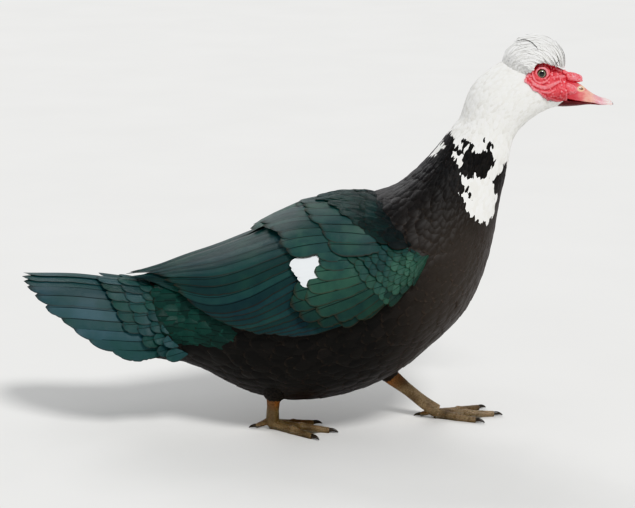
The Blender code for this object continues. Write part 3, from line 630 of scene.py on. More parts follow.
def mesh_of(name, shape, rims=False):
    """A Blender mesh of the shape, with its marks as attributes and a UV map where one of them is OFBake.

    Thin vanes shade as flat sheets if their rims are marked sharp.
    """
    mesh = bpy.data.meshes.new(name)
    mesh.vertices.add(len(shape.points))
    mesh = placed(mesh, shape.points)
    corners = np.concatenate([shape.quads.ravel(), shape.tris.ravel()])
    mesh.loops.add(len(corners))
    mesh.loops.foreach_set("vertex_index", corners.astype(np.int32))
    mesh.polygons.add(len(shape.quads) + len(shape.tris))
    quad_ends = len(shape.quads) * 4
    starts = np.concatenate([np.arange(0, quad_ends, 4), np.arange(quad_ends, len(corners), 3)])
    mesh.polygons.foreach_set("loop_start", starts.astype(np.int32))
    mesh.update(calc_edges=True)
    for mark, values in shape.marks.items():
        if mark == "OFBake":
            layer = mesh.uv_layers.new(name=mark, do_init=False)
            layer.uv.foreach_set("vector", values[corners].astype(np.float32).ravel())
            continue
        mesh = noted(mesh, "FLOAT" if values.ndim == 1 else "FLOAT_VECTOR", **{mark: values})
    mesh.shade_smooth()
    if rims:
        mesh.set_sharp_from_angle(angle=RIM_ANGLE)
    return mesh


def in_scene(name, data):
    """A new object in the scene."""
    made = bpy.data.objects.new(name, data)
    bpy.context.scene.collection.objects.link(made)
    return made


def piece(name, mesh, material, slot, replaces=()):
    """A finished piece of the bird, which rides on the body and stands for the solids it replaces."""
    made = in_scene(name, mesh)
    mesh.materials.clear()
    mesh.materials.append(material)
    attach(made, "root")
    if replaces:
        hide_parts(*replaces)
    return made


def evaluated(helper):
    """The mesh that a helper object's modifiers make. The helper itself is removed."""
    graph = bpy.context.evaluated_depsgraph_get()
    mesh = bpy.data.meshes.new_from_object(helper.evaluated_get(graph))
    old = helper.data
    bpy.data.objects.remove(helper)
    bpy.data.meshes.remove(old)
    mesh.shade_smooth()
    return mesh


def finished(name, shape, *modifiers):
    """The shape as a mesh after modifiers, each given as its type and settings."""
    helper = in_scene(name, mesh_of(name, shape))
    for kind, settings in modifiers:
        modifier = helper.modifiers.new(kind.lower(), kind)
        for key, value in settings.items():
            setattr(modifier, key, value)
    return evaluated(helper)


def remeshed(voxel, rounds=4, strength=0.5):
    """Modifiers that melt the pieces of a shape into one skin and soften where they meet."""
    return (
        ("REMESH", {"mode": "VOXEL", "voxel_size": voxel * MM, "adaptivity": 0.0}),
        ("SMOOTH", {"factor": strength, "iterations": rounds}),
    )


def points_of(mesh):
    """The mesh's points, in millimetres."""
    points = np.empty(len(mesh.vertices) * 3, np.float32)
    mesh.vertices.foreach_get("co", points)
    return points.reshape(-1, 3).astype(float) / MM


def normals_of(mesh):
    """The direction out of the mesh at each of its points."""
    normals = np.empty(len(mesh.vertices) * 3, np.float32)
    mesh.vertices.foreach_get("normal", normals)
    return normals.reshape(-1, 3).astype(float)


def moved(mesh, offsets):
    """The mesh with each point moved out along its normal by an offset in millimetres."""
    return placed(mesh, points_of(mesh) + normals_of(mesh) * offsets[:, None])


# Nodes and colours.

# What each kind of node is: its type, its settings, its inputs in the order in which they are given, and its
# output. A kind whose output is None gives all of its outputs.
NODES = {
    "place": ("ShaderNodeTexCoord", {}, (), "Object"),
    "mark": ("ShaderNodeAttribute", {}, (), "Fac"),
    "vector mark": ("ShaderNodeAttribute", {}, (), "Vector"),
    "noise": ("ShaderNodeTexNoise", {}, ("Vector", "Scale", "Detail", "Roughness"), "Fac"),
    "cells": ("ShaderNodeTexVoronoi", {}, ("Vector", "Scale"), "Distance"),
    "stretch": ("ShaderNodeMapping", {}, ("Vector", "Scale"), 0),
    "parts": ("ShaderNodeSeparateXYZ", {}, (0,), None),
    "vector": ("ShaderNodeCombineXYZ", {}, (0, 1, 2), 0),
    "vector add": ("ShaderNodeVectorMath", {"operation": "ADD"}, (0, 1), 0),
    "vector subtract": ("ShaderNodeVectorMath", {"operation": "SUBTRACT"}, (0, 1), 0),
    "vector multiply": ("ShaderNodeVectorMath", {"operation": "MULTIPLY"}, (0, 1), 0),
    "vector scale": ("ShaderNodeVectorMath", {"operation": "SCALE"}, (0, "Scale"), 0),
    "length": ("ShaderNodeVectorMath", {"operation": "LENGTH"}, (0,), "Value"),
    "add": ("ShaderNodeMath", {"operation": "ADD"}, (0, 1), 0),
    "subtract": ("ShaderNodeMath", {"operation": "SUBTRACT"}, (0, 1), 0),
    "multiply": ("ShaderNodeMath", {"operation": "MULTIPLY"}, (0, 1), 0),
    "greater": ("ShaderNodeMath", {"operation": "MAXIMUM"}, (0, 1), 0),
    "absolute": ("ShaderNodeMath", {"operation": "ABSOLUTE"}, (0,), 0),
    "sine": ("ShaderNodeMath", {"operation": "SINE"}, (0,), 0),
    "angle": ("ShaderNodeMath", {"operation": "ARCTAN2"}, (0, 1), 0),
    "range": ("ShaderNodeMapRange", {"interpolation_type": "SMOOTHSTEP"}, (0, 1, 2, 3, 4), 0),
    "mix": ("ShaderNodeMix", {"data_type": "RGBA"}, (0, 6, 7), 2),
    "ramp": ("ShaderNodeValToRGB", {}, (0,), 0),
    "bump": ("ShaderNodeBump", {}, ("Height", "Distance", "Strength"), 0),
    "group inputs": ("NodeGroupInput", {}, (), None),
    "group output": ("NodeGroupOutput", {}, ("Coat",), None),
    "named": ("GeometryNodeInputNamedAttribute", {"data_type": "FLOAT_VECTOR"}, ("Name",), "Attribute"),
    "children": ("GeometryNodeCollectionInfo", {}, ("Collection", "Separate Children", "Reset Children"), 0),
    "facing": (
        "FunctionNodeAxesToRotation",
        {"primary_axis": "X", "secondary_axis": "Z"},
        ("Primary Axis", "Secondary Axis"),
        0,
    ),
    "random vector": ("FunctionNodeRandomValue", {"data_type": "FLOAT_VECTOR"}, ("Min", "Max", "Seed"), 0),
    "turn": ("FunctionNodeEulerToRotation", {}, (0,), 0),
    "turned": ("FunctionNodeRotateRotation", {"rotation_space": "LOCAL"}, ("Rotation", "Rotate By"), 0),
    "set on points": (
        "GeometryNodeInstanceOnPoints",
        {},
        ("Points", "Instance", "Pick Instance", "Instance Index", "Rotation", "Scale"),
        0,
    ),
    "realized": ("GeometryNodeRealizeInstances", {}, ("Geometry",), 0),
    "with UV map": (
        "GeometryNodeStoreNamedAttribute",
        {"data_type": "FLOAT2", "domain": "CORNER"},
        ("Geometry", "Name", "Value"),
        0,
    ),
    "without": ("GeometryNodeRemoveAttribute", {}, ("Geometry", "Name"), 0),
    "with material": ("GeometryNodeSetMaterial", {}, ("Geometry", "Material"), 0),
}


def linear(code):
    """The linear colour of an sRGB hex code."""
    values = [int(code[i : i + 2], 16) / 255 for i in (1, 3, 5)]
    return (*[v / 12.92 if v <= 0.04045 else ((v + 0.055) / 1.055) ** 2.4 for v in values], 1.0)


def add(tree, kind, *values, stops=(), **settings):
    """The output of a new node. Its inputs are values or other nodes' outputs, in the kind's own order.

    A colour ramp also has stops, each a place and an sRGB hex code.
    """
    node_type, fixed, sockets, output = NODES[kind]
    node = tree.nodes.new(node_type)
    for name, value in {**fixed, **settings}.items():
        setattr(node, name, value)
    for socket, value in zip(sockets, values):
        if isinstance(value, bpy.types.NodeSocket):
            tree.links.new(value, node.inputs[socket])
        else:
            node.inputs[socket].default_value = value
    if stops:
        elements = node.color_ramp.elements
        for _ in stops[2:]:
            elements.new(0.5)
        for element, (place, code) in zip(elements, stops):
            element.position = place
            element.color = linear(code)
    return node.outputs if output is None else node.outputs[output]


def new_material(name, **values):
    """A material and its tree, with constant values set on its Principled shader's own sockets."""
    material = bpy.data.materials.new(name)
    material.use_nodes = True
    shader = material.node_tree.nodes["Principled BSDF"]
    for key, value in values.items():
        shader.inputs[key.replace("_", " ")].default_value = value
    return material, material.node_tree


def shaded(material, **outputs):
    """The material with nodes' outputs linked to its shader's sockets."""
    tree = material.node_tree
    shader = tree.nodes["Principled BSDF"]
    for key, output in outputs.items():
        tree.links.new(output, shader.inputs[key.replace("_", " ")])
    return material


def grain(tree, size_mm, detail=3.0, rough=0.55):
    """Noise on object coordinates whose cells are about size_mm across."""
    return add(tree, "noise", add(tree, "place"), 1 / (size_mm * MM), detail, rough)


def barbs(tree, length_mm, pitch_mm):
    """The mark vane's parts, and fine lines that run out and forward from the shaft.

    The barbs of a real feather lie about 0.3 mm apart, too fine to show, so they are drawn coarser.
    """
    parts = add(tree, "parts", add(tree, "vector mark", attribute_name="vane"))
    slant = add(tree, "multiply", add(tree, "absolute", parts[0]), BARB_SLANT)
    run = add(tree, "subtract", parts[1], slant)
    lines = add(tree, "sine", add(tree, "multiply", run, 2 * math.pi * length_mm / pitch_mm))
    return parts, lines


# Materials.


def dark_plumage():
    """Keratin of the contour feathers, barbed into a silky vane.

    The black vane is matt, with a thin brown rim. Over the lower front of the breast vane and rim are painted
    lighter, a grey brown, as painted sunlight. Where the mark white is 1 the feather is a clean white one.
    """
    material, tree = new_material(
        "black and white contour feather",
        Roughness=0.52,
        Specular_IOR_Level=0.4,
        Sheen_Weight=0.08,
        Sheen_Roughness=0.4,
        Sheen_Tint=linear("#8d7a86"),
    )
    parts, lines = barbs(tree, 26, 1.4)
    tone = add(tree, "mark", attribute_name="tone")
    body = add(tree, "ramp", tone, stops=((0.0, "#0b0a0a"), (0.5, "#131211"), (1.0, "#1c1a19")))
    x, _, z = add(tree, "parts", add(tree, "place"))
    # Painted light: the lower front of the breast is painted a lighter grey brown, and its rims paler, as if in
    # sunlight.
    forward = add(tree, "range", x, 0.06, 0.19, 0.0, 0.7)
    breast_painted_light = add(tree, "multiply", forward, add(tree, "range", z, 0.34, 0.24, 0.0, 1.0))
    body = add(tree, "mix", breast_painted_light, body, linear("#46403b"))
    away = add(tree, "absolute", parts[0])
    edge = add(tree, "greater", add(tree, "range", away, 0.72, 1.0), add(tree, "range", parts[1], 0.86, 1.0))
    rim = add(tree, "multiply", edge, add(tree, "range", grain(tree, 60), 0.3, 0.7, 0.3, 0.9))
    rim_painted_lighter_on_breast = add(tree, "mix", breast_painted_light, linear("#332d29"), linear("#5a5049"))
    body = add(tree, "mix", rim, body, rim_painted_lighter_on_breast)
    body = add(tree, "mix", add(tree, "range", lines, -1, 1, 0.0, 0.25), body, linear("#0b0a0a"))
    pale = add(tree, "ramp", tone, stops=((0.0, "#ebe9e3"), (0.4, "#f5f4ef"), (1.0, "#fbfaf7")))
    pale = add(tree, "mix", add(tree, "range", parts[1], 0.5, 0.0, 0.0, 0.2), pale, linear("#d5d2ca"))
    white = add(tree, "range", add(tree, "mark", attribute_name="white"), 0.42, 0.58)
    colour = add(tree, "mix", white, body, pale)
    return shaded(material, Base_Color=colour, Normal=add(tree, "bump", lines, 0.03 * MM))


def crest_plumage():
    """Loose, downy keratin of the crest's plumes: matt and warm white, with a few dark ones of painted shade.

    A plume is dark, as painted shade along a parting of the crest, where the mark white is 0.
    """
    material, tree = new_material("white crest plume", Roughness=0.8)
    parts, lines = barbs(tree, 36, 1.6)
    tone = add(tree, "mark", attribute_name="tone")
    pale = add(tree, "ramp", tone, stops=((0.0, "#f4f3ef"), (0.4, "#faf9f6"), (1.0, "#fefdfb")))
    pale = add(tree, "mix", add(tree, "range", parts[1], 0.6, 0.0, 0.0, 0.1), pale, linear("#dedbd4"))
    # Painted shade: plumes whose mark white is 0 are dark, along a parting of the crest.
    dark = add(tree, "range", add(tree, "mark", attribute_name="white"), 0.55, 0.45)
    colour = add(tree, "mix", dark, pale, linear("#3a3633"))
    return shaded(material, Base_Color=colour, Normal=add(tree, "bump", lines, 0.015 * MM))


def glossy_plumage(name, low, middle, high, rim, soot=0.65):
    """Keratin of the glossy feathers, whose fine structure gives them colour: green to blue vanes.

    They have a soft gloss, a purple-brown rim and a dark shaft. The mark hue moves a feather along the three
    colours, the mark tone blackens it by up to soot, and the mark white bleaches it.
    """
    material, tree = new_material(name, Roughness=0.45, Specular_IOR_Level=0.28)
    parts, lines = barbs(tree, 90, 1.7)
    drift = add(tree, "range", grain(tree, 35), 0.3, 0.7, -0.18, 0.18)
    hue = add(tree, "add", add(tree, "mark", attribute_name="hue"), drift)
    body = add(tree, "ramp", hue, stops=((0.0, low), (0.5, middle), (1.0, high)))
    darkened = add(tree, "range", add(tree, "mark", attribute_name="tone"), 0, 1, 0.0, soot)
    body = add(tree, "mix", darkened, body, linear("#161718"))
    away = add(tree, "absolute", parts[0])
    edge = add(tree, "greater", add(tree, "range", away, 0.8, 1.0), add(tree, "range", parts[1], 0.93, 1.0))
    body = add(tree, "mix", add(tree, "multiply", edge, 0.6), body, linear(rim))
    body = add(tree, "mix", add(tree, "range", lines, -1, 1, 0.0, 0.14), body, linear("#0a0e0e"))
    body = add(tree, "mix", add(tree, "range", away, 0.06, 0.02, 0.0, 0.8), body, linear("#12100f"))
    white = add(tree, "range", add(tree, "mark", attribute_name="white"), 0.42, 0.58)
    return shaded(
        material,
        Base_Color=add(tree, "mix", white, body, linear("#f4f7f8")),
        Roughness=add(tree, "range", edge, 0, 1, 0.4, 0.6),
        Normal=add(tree, "bump", lines, 0.045 * MM),
    )


def under_skin():
    """Down over the skin, quite matt: dark grey under the black feathers and off-white under the hood."""
    material, tree = new_material("down over skin", Roughness=0.9)
    white = add(tree, "range", add(tree, "mark", attribute_name="white"), 0.4, 0.6)
    speck = grain(tree, 4)
    dark = add(tree, "ramp", speck, stops=((0.3, "#0d0b0a"), (0.7, "#1b1715")))
    pale = add(tree, "ramp", speck, stops=((0.3, "#d6d3cb"), (0.7, "#ecebe6")))
    colour = add(tree, "mix", white, dark, pale)
    return shaded(material, Base_Color=colour, Normal=add(tree, "bump", speck, 0.5 * MM))


def caruncle_skin():
    """Bare, blood-filled skin with a waxy gloss. Painted light and shade: pinker on the bulbs as painted
    highlight, dark in the creases as painted shade; darker under the jaw, partly the skin's own darker red and
    partly painted shade under the bill.

    Its grain of small warts is 1.6 mm across.
    """
    material, tree = new_material(
        "caruncle skin",
        Roughness=0.42,
        Subsurface_Weight=0.2,
        Subsurface_Radius=(0.0025, 0.0006, 0.0004),
        Coat_Weight=0.15,
        Coat_Roughness=0.3,
    )
    place = add(tree, "place")
    cells = add(tree, "cells", place, 1 / (1.6 * MM), feature="SMOOTH_F1")
    warts = add(tree, "subtract", 1.0, cells)
    relief = add(tree, "mark", attribute_name="relief")
    # Painted highlight and shade: the relief mark paints bulbs pale pink and creases dark red.
    stops = ((0.0, "#7a151c"), (0.3, "#d23e46"), (0.55, "#f2626a"), (1.0, "#ffb0b8"))
    body = add(tree, "ramp", relief, stops=stops)
    body = add(tree, "mix", add(tree, "range", grain(tree, 9), 0.35, 0.7, 0.0, 0.3), body, linear("#d33d45"))
    body = add(tree, "mix", add(tree, "range", warts, 0.2, 0.9, 0.3, 0.0), body, linear("#9b2228"))
    # Darker low on the face: partly the skin's own darker red, partly painted shade under the bill.
    z = add(tree, "parts", place)[2]
    body = add(tree, "mix", add(tree, "range", z, 0.436, 0.424, 0.0, 0.55), body, linear("#97262b"))
    return shaded(
        material,
        Base_Color=body,
        Roughness=add(tree, "range", relief, 0.0, 1.0, 0.55, 0.34),
        Normal=add(tree, "bump", warts, 0.25 * MM, 0.8),
    )


BILL_STOPS = (
    (0.0, "#c2333b"), (0.2, "#d65f66"), (0.42, "#e4938a"),
    (0.6, "#efbca8"), (0.78, "#dda0aa"), (0.94, "#f0dfdb"),
)  # fmt: skip
MANDIBLE_STOPS = ((0.0, "#4d1114"), (0.6, "#6b1b20"), (1.0, "#8a3a3c"))


def bill_horn(name, stops, upper=True):
    """Smooth horn over bone, with a soft gloss: red where it leaves the face, paler towards the nail.

    Faint streaks run along it. The upper bill has a cream rim round its nostrils and a dark point.
    """
    material, tree = new_material(
        name, Roughness=0.34, Subsurface_Weight=0.1, Subsurface_Radius=(0.002, 0.0008, 0.0006)
    )
    place = add(tree, "place")
    x = add(tree, "parts", place)[0]
    drift = add(tree, "range", grain(tree, 8), 0.3, 0.7, -0.004, 0.004)
    along = add(tree, "range", add(tree, "add", x, drift), 0.300, 0.3655)
    body = add(tree, "ramp", along, stops=stops)
    streak = add(tree, "noise", add(tree, "stretch", place, (80, 500, 500)), 1.0, 3.0)
    body = add(tree, "mix", add(tree, "range", streak, 0.5, 0.75, 0.0, 0.35), body, linear("#a2434a"))
    if upper:
        away = add(tree, "vector subtract", place, (NOSTRIL_X * MM, 0.0, NOSTRIL_Z * MM))
        rim = add(tree, "length", add(tree, "vector multiply", away, (1.0, 0.0, 1.5)))
        body = add(tree, "mix", add(tree, "range", rim, 0.0058, 0.0042, 0.0, 0.75), body, linear("#f0dcb4"))
        body = add(tree, "mix", add(tree, "range", x, 0.3632, 0.3652), body, linear("#2c2424"))
    return shaded(material, Base_Color=body, Normal=add(tree, "bump", streak, 0.12 * MM, 0.6))


def wet_eye(name, side):
    """A wet, clear cornea over a black pupil and a tan to grey-green iris with fine rays and a dark rim."""
    material, tree = new_material(f"wet eye {name}", Roughness=0.12, Coat_Weight=1.0, Coat_Roughness=0.02)
    centre = (EYE_X * MM, side * EYE_OFFSET * MM, EYE_Z * MM)
    parts = add(tree, "parts", add(tree, "vector subtract", add(tree, "place"), centre))
    away = add(tree, "length", add(tree, "vector", parts[0], 0.0, parts[2]))
    rays_at = add(tree, "vector", add(tree, "angle", parts[2], parts[0]), add(tree, "multiply", away, 90.0))
    rays = add(tree, "noise", rays_at, 9.0, 2.0)
    iris = add(tree, "ramp", rays, stops=((0.3, "#565743"), (0.5, "#7f7f66"), (0.72, "#aba88a")))
    iris = add(tree, "mix", add(tree, "range", away, 0.0038, 0.0050), iris, linear("#2b281f"))
    body = add(tree, "mix", add(tree, "range", away, 0.0034, 0.0031), iris, linear("#040404"))
    body = add(tree, "mix", add(tree, "range", away, 0.0052, 0.0058), body, linear("#120e0c"))
    return shaded(material, Base_Color=body)


def scaly_skin():
    """Leathery skin of the feet, dull with a faint shine on each scale: brown and grey, with orange painted
    sunlight round the top of each shank.

    Its net of small scales is 2.4 mm across.
    """
    material, tree = new_material("scaly foot skin", Roughness=0.55, Subsurface_Weight=0.05)
    cells = add(tree, "cells", add(tree, "place"), 1 / (2.4 * MM), feature="DISTANCE_TO_EDGE")
    groove = add(tree, "range", cells, 0.0, 0.12)
    patch = grain(tree, 22)
    body = add(tree, "ramp", patch, stops=((0.3, "#57493a"), (0.5, "#7d6b52"), (0.7, "#9b876a")))
    joint = add(tree, "mark", attribute_name="joint")
    # Painted sunlight: an orange glow round the top of the shank, broken up by noise.
    sunlit_orange = add(tree, "multiply", joint, add(tree, "range", patch, 0.35, 0.65, 0.35, 0.9))
    body = add(tree, "mix", sunlit_orange, body, linear("#9a5a2b"))
    body = add(tree, "mix", add(tree, "mark", attribute_name="web"), body, linear("#6a655c"))
    body = add(tree, "mix", add(tree, "range", groove, 0, 1, 0.6, 0.0), body, linear("#2f261d"))
    return shaded(
        material,
        Base_Color=body,
        Roughness=add(tree, "range", groove, 0, 1, 0.75, 0.48),
        Normal=add(tree, "bump", groove, 0.3 * MM, 0.9),
    )


def claw_horn():
    """Dense dark horn with a low polish and faint paler clouds."""
    material, tree = new_material("claw horn", Roughness=0.32)
    body = add(tree, "ramp", grain(tree, 3), stops=((0.35, "#1f1b18"), (0.7, "#4b443c")))
    return shaded(material, Base_Color=body, Normal=add(tree, "bump", grain(tree, 1.2), 0.05 * MM))


def studio_floor():
    """Matt painted board: pale grey, with clouds too faint to draw the eye."""
    material, tree = new_material("matt studio board", Roughness=0.85)
    return shaded(
        material,
        Base_Color=add(tree, "ramp", grain(tree, 300), stops=((0.3, "#e3e2df"), (0.7, "#e9e8e5"))),
    )


# Markings of the plumage, which the skin and the coat share.


def oval(x, z, mark):
    """How far inside an oval a point lies: 1 at its centre, 0 on its edge."""
    centre_x, centre_z, length, width, tilt = mark
    a = math.radians(tilt)
    dx, dz = x - centre_x, z - centre_z
    along, across = dx * math.cos(a) + dz * math.sin(a), dz * math.cos(a) - dx * math.sin(a)
    return 1 - np.sqrt((along / length) ** 2 + (across / width) ** 2)


def ripple(points, size):
    """Smooth noise from -1 to 1 at each point, with swells of about size millimetres."""
    return np.array([noise.noise(Vector(p) / size) for p in points])


def swells(points, sizes):
    """Noise of several sizes at each point, from pairs of a size and a height."""
    return sum(ripple(points, size) * height for size, height in sizes)


def whiteness(points):
    """How white the plumage is at each point: over 0.5 is white."""
    wander = swells(points, EDGE_SWELLS)
    x = points[:, 0] + np.where(points[:, 1] > 0, LEFT_SHIFT[0], 0)
    z = points[:, 2] + np.where(points[:, 1] > 0, LEFT_SHIFT[1], 0)
    edge = np.interp(x, *zip(*HOOD_EDGE))
    hood = (z - edge + wander) / 6
    for mark in WHITE_BLOTCHES:
        hood = np.maximum(hood, (oval(x, z, mark) * mark[3] + wander * 0.5) / 5)
    for mark in BLACK_BLOTCHES:
        hood = np.minimum(hood, -(oval(x, z, mark) * mark[3] + wander * 0.3) / 4)
    return np.clip(hood * 0.5 + 0.5, 0, 1)


# Feathers.


def feather(around, rows, width, bulge=0.04, thick=0.008, camber=0.045):
    """One contour feather of length 1 and half width 0.5.

    Its root is at the origin, its tip on +X and its outer face turned to +Z.
    """
    f = np.linspace(0, 1, rows) ** 0.9
    share = np.interp(f, *zip(*width))
    top = np.linspace(-1, 1, around + 2)
    c = np.concatenate([top, top[-2:0:-1]])
    upper = np.concatenate([np.ones(around + 2), np.zeros(around)])
    x = f[:, None] + 0 * c
    y = 0.5 * share[:, None] * c
    arc = bulge * 4 * f * (1 - f)
    flat = np.sqrt(np.maximum(0, 1 - c**2))
    z = arc[:, None] - camber * c**2 + thick * flat * np.where(upper > 0, 1, -0.6) * (1 - 0.6 * f[:, None])
    rings = np.stack([x, y, z], -1)
    vane = np.stack([c + 0 * x, x, 0 * x], -1).reshape(-1, 3)
    patch = np.stack([x - 0.5, 0.5 * c + 0 * x, 0 * x], -1).reshape(-1, 3)
    return loft(rings, folded=True, vane=vane, patch=patch)


# Outlines of a vane, as places along it and its share of the full width there. The last has parted barbs.
BROAD = ((0, 0.45), (0.3, 0.8), (0.6, 1.0), (0.8, 0.93), (0.92, 0.68), (1, 0.25))
SLIM = ((0, 0.5), (0.35, 0.95), (0.65, 1.0), (0.85, 0.7), (1, 0.15))
SPLIT = ((0, 0.4), (0.3, 0.85), (0.55, 0.95), (0.74, 0.98), (0.84, 0.72), (0.9, 0.8), (1, 0.22))


def feather_kinds(name, kinds):
    """A collection of feathers to pick from, kept out of the render."""
    kept = bpy.data.collections.new(name)
    for i, shape in enumerate(kinds):
        shape.points = shape.points / MM  # a feather's unit is one metre, so that its size scales it
        kept.objects.link(bpy.data.objects.new(f"{name} {i}", mesh_of(name, shape)))
    return kept


def coat_tree():
    """Geometry nodes that set a feather on each root point, turned to the lie of the coat."""
    tree = bpy.data.node_groups.new("contour plumage", "GeometryNodeTree")
    socket = tree.interface.new_socket
    socket("Roots", in_out="INPUT", socket_type="NodeSocketGeometry")
    socket("Feathers", in_out="INPUT", socket_type="NodeSocketCollection")
    socket("Sway", in_out="INPUT", socket_type="NodeSocketFloat").default_value = 0.1
    socket("Ruffle", in_out="INPUT", socket_type="NodeSocketFloat").default_value = 0.04
    socket("Patch", in_out="INPUT", socket_type="NodeSocketFloat").default_value = 0.003
    socket("Seed", in_out="INPUT", socket_type="NodeSocketInt").default_value = 1
    socket("Finish", in_out="INPUT", socket_type="NodeSocketMaterial")
    socket("Coat", in_out="OUTPUT", socket_type="NodeSocketGeometry")
    given = add(tree, "group inputs")
    children = add(tree, "children", given["Feathers"], True, True)
    facing = add(tree, "facing", add(tree, "named", "lie"), add(tree, "named", "out"))
    spread = add(tree, "vector", 0.0, given["Ruffle"], given["Sway"])
    least = add(tree, "vector multiply", spread, (-1, -1, -1))
    sway = add(tree, "random vector", least, spread, given["Seed"])
    facing = add(tree, "turned", facing, add(tree, "turn", sway))
    kind = add(tree, "named", "kind", data_type="INT")
    size = add(tree, "named", "size")
    made = add(tree, "set on points", given["Roots"], children, True, kind, facing, size)
    patch = add(tree, "vector scale", add(tree, "named", "patch"), given["Patch"])
    place = add(tree, "vector add", add(tree, "named", "root"), patch)
    made = add(tree, "with UV map", add(tree, "realized", made), "OFBake", place)
    for name in ("out", "lie", "size", "kind", "root", "patch"):
        made = add(tree, "without", made, name)
    add(tree, "group output", add(tree, "with material", made, given["Finish"]))
    return tree


# What is kept of each feather of a coat: where its root lies, its outer face's direction, its own direction,
# its length, width and height, its place on the UV map, and how white and how dark it is.
ROOT_MARKS = ("at", "out", "lie", "size", "root", "white", "tone")


def coat(name, tree, roots, kinds, material, seed, sway=0.1, ruffle=0.04):
    """The mesh of a coat from its roots, a dict of arrays."""
    mesh = bpy.data.meshes.new(name)
    mesh.vertices.add(len(roots["at"]))
    mesh = placed(mesh, roots["at"])
    mesh = noted(mesh, "FLOAT_VECTOR", **{key: roots[key] for key in ("out", "lie", "size", "root")})
    mesh = noted(mesh, white=roots["white"], tone=roots["tone"])
    mesh = noted(mesh, "INT", kind=rng.integers(0, len(kinds.objects), len(roots["at"])))
    helper = in_scene(name, mesh)
    modifier = helper.modifiers.new("plumage", "NODES")
    modifier.node_group = tree
    inputs = {item.name: item.identifier for item in tree.interface.items_tree if item.in_out == "INPUT"}
    given = {"Feathers": kinds, "Sway": sway, "Ruffle": ruffle, "Seed": seed, "Finish": material}
    for key, value in given.items():
        modifier[inputs[key]] = value
    made = evaluated(helper)
    made.name = name
    made.set_sharp_from_angle(angle=RIM_ANGLE)
    return made


def body_roots(start, end):
    """Roots of contour feathers between two stations, in staggered rows."""
    rows = []
    t, row = end, 0
    while t > start:
        length, half, along, across, deep, high = knots_at(COAT_SIZES, t)
        around = body_point(np.full(360, t), np.arange(360.0))
        lengths = np.linalg.norm(np.roll(around, -1, 0) - around, axis=1)
        girth = np.concatenate([[0], np.cumsum(lengths)])
        count = max(8, int(girth[-1] / across))
        places = (np.arange(count) + 0.5 * (row % 2)) / count * girth[-1]
        places = places + rng.normal(0, across * 0.12, count)
        angles = np.interp(places % girth[-1], girth, np.arange(361.0))
        stations = t + rng.normal(0, 0.12, count) * along / STATION_STEP
        rows.append(np.stack([stations, angles, *[np.full(count, v) for v in (length, half, deep, high)]], 1))
        pace = np.linalg.norm(body_point(t, 180.0) - body_point(t - 0.1, 180.0)) / 0.1
        t -= along / pace
        row += 1
    return np.concatenate(rows)


def in_outline(x, z, outline):
    """Which points lie inside an outline of the side view."""
    inside = np.zeros(len(x), bool)
    outline = np.array(outline, float)
    for (x0, z0), (x1, z1) in zip(outline, np.roll(outline, -1, 0)):
        crosses = (z0 > z) != (z1 > z)
        inside ^= crosses & (x < x0 + (z - z0) * (x1 - x0) / (z1 - z0 + 1e-9))
    return inside


def shown(points):
    """Which roots show: not under a folded wing, the bare face or the bill."""
    x, _, z = points.T
    _, _, low, top, reach = rows_by_first(WING_STATIONS, x).T
    start, end = WING_COVERS
    high = low + (top - low) * np.sin(np.radians(reach * 0.82))
    under = (x > start) & (x < end) & (z > low + WING_COVERS_FROM) & (z < high)
    return ~under & ~in_outline(x, z, MASK_OUTLINE)


def on_square(values):
    """Values spread over a UV map's side, with a margin for a feather's patch."""
    return 0.01 + 0.98 * (values - values.min()) / np.ptp(values)


def lie_of(t, angle, length, deep, high):
    """Where feathers of the body are rooted, and the way that they and their outer faces point."""
    at = body_point(t, angle, -deep)
    pace = np.linalg.norm(body_point(t + 0.02, angle) - body_point(t - 0.02, angle), axis=1) / 0.04
    tip = body_point(t - length / pace, angle, high)
    return at, body_out(t, angle), unit(tip - at)


def body_coats(material, green):
    """The contour feathers of the trunk, neck and head, in coats that each stay under 200,000 triangles.

    The feathers of the flank behind the wing are green and make a coat of their own.
    """
    tree = coat_tree()
    broad = [feather(3, 8, BROAD), feather(3, 8, SPLIT), feather(3, 8, BROAD, 0.05)]
    broad = feather_kinds("broad feather", broad)
    slim = [feather(1, 6, width, 0.04, 0.006, 0.02) for width in (SLIM, SPLIT, BROAD)]
    slim = feather_kinds("slim feather", slim)
    spans = (
        ("trunk", "torso", 0.0, 4.4, broad),
        ("shoulder", "torso", 4.4, 6.8, broad),
        ("breast", "torso", 6.8, 8.1, broad),
        ("crop", "torso", 8.1, 9.0, broad),
        ("neck", "neck", 9.0, 13.4, slim),
        ("head", "head", 13.4, 18.6, slim),
    )
    for i, (name, slot, start, end, kinds) in enumerate(spans):
        t, angle, length, half, deep, high = body_roots(start, end).T
        keep = shown(body_point(t, angle))
        t, angle, length, half, deep, high = (v[keep] for v in (t, angle, length, half, deep, high))
        length = length * rng.uniform(0.88, 1.12, len(t))
        at, out, lie = lie_of(t, angle, length, deep, high)
        shows = at + lie * length[:, None] * SHOWING
        roots = {
            "at": at,
            "out": out,
            "lie": lie,
            "size": np.stack([length, 2 * half, length], 1) * MM,
            "white": (whiteness(shows) > 0.5).astype(float),
            "tone": rng.uniform(0, 1, len(t)),
        }
        on_flank = in_outline(shows[:, 0], shows[:, 2], GREEN_FLANK)
        for part, which, finish in ((name, ~on_flank, material), ("flank", on_flank, green)):
            if which.any():
                chosen = {key: values[which] for key, values in roots.items()}
                chosen["root"] = np.stack([on_square(angle[which]), on_square(t[which]), 0 * t[which]], 1)
                mesh = coat(f"{part}_coat", tree, chosen, kinds, finish, seed=11 + i)
                piece(f"{part}_coat", mesh, finish, slot)


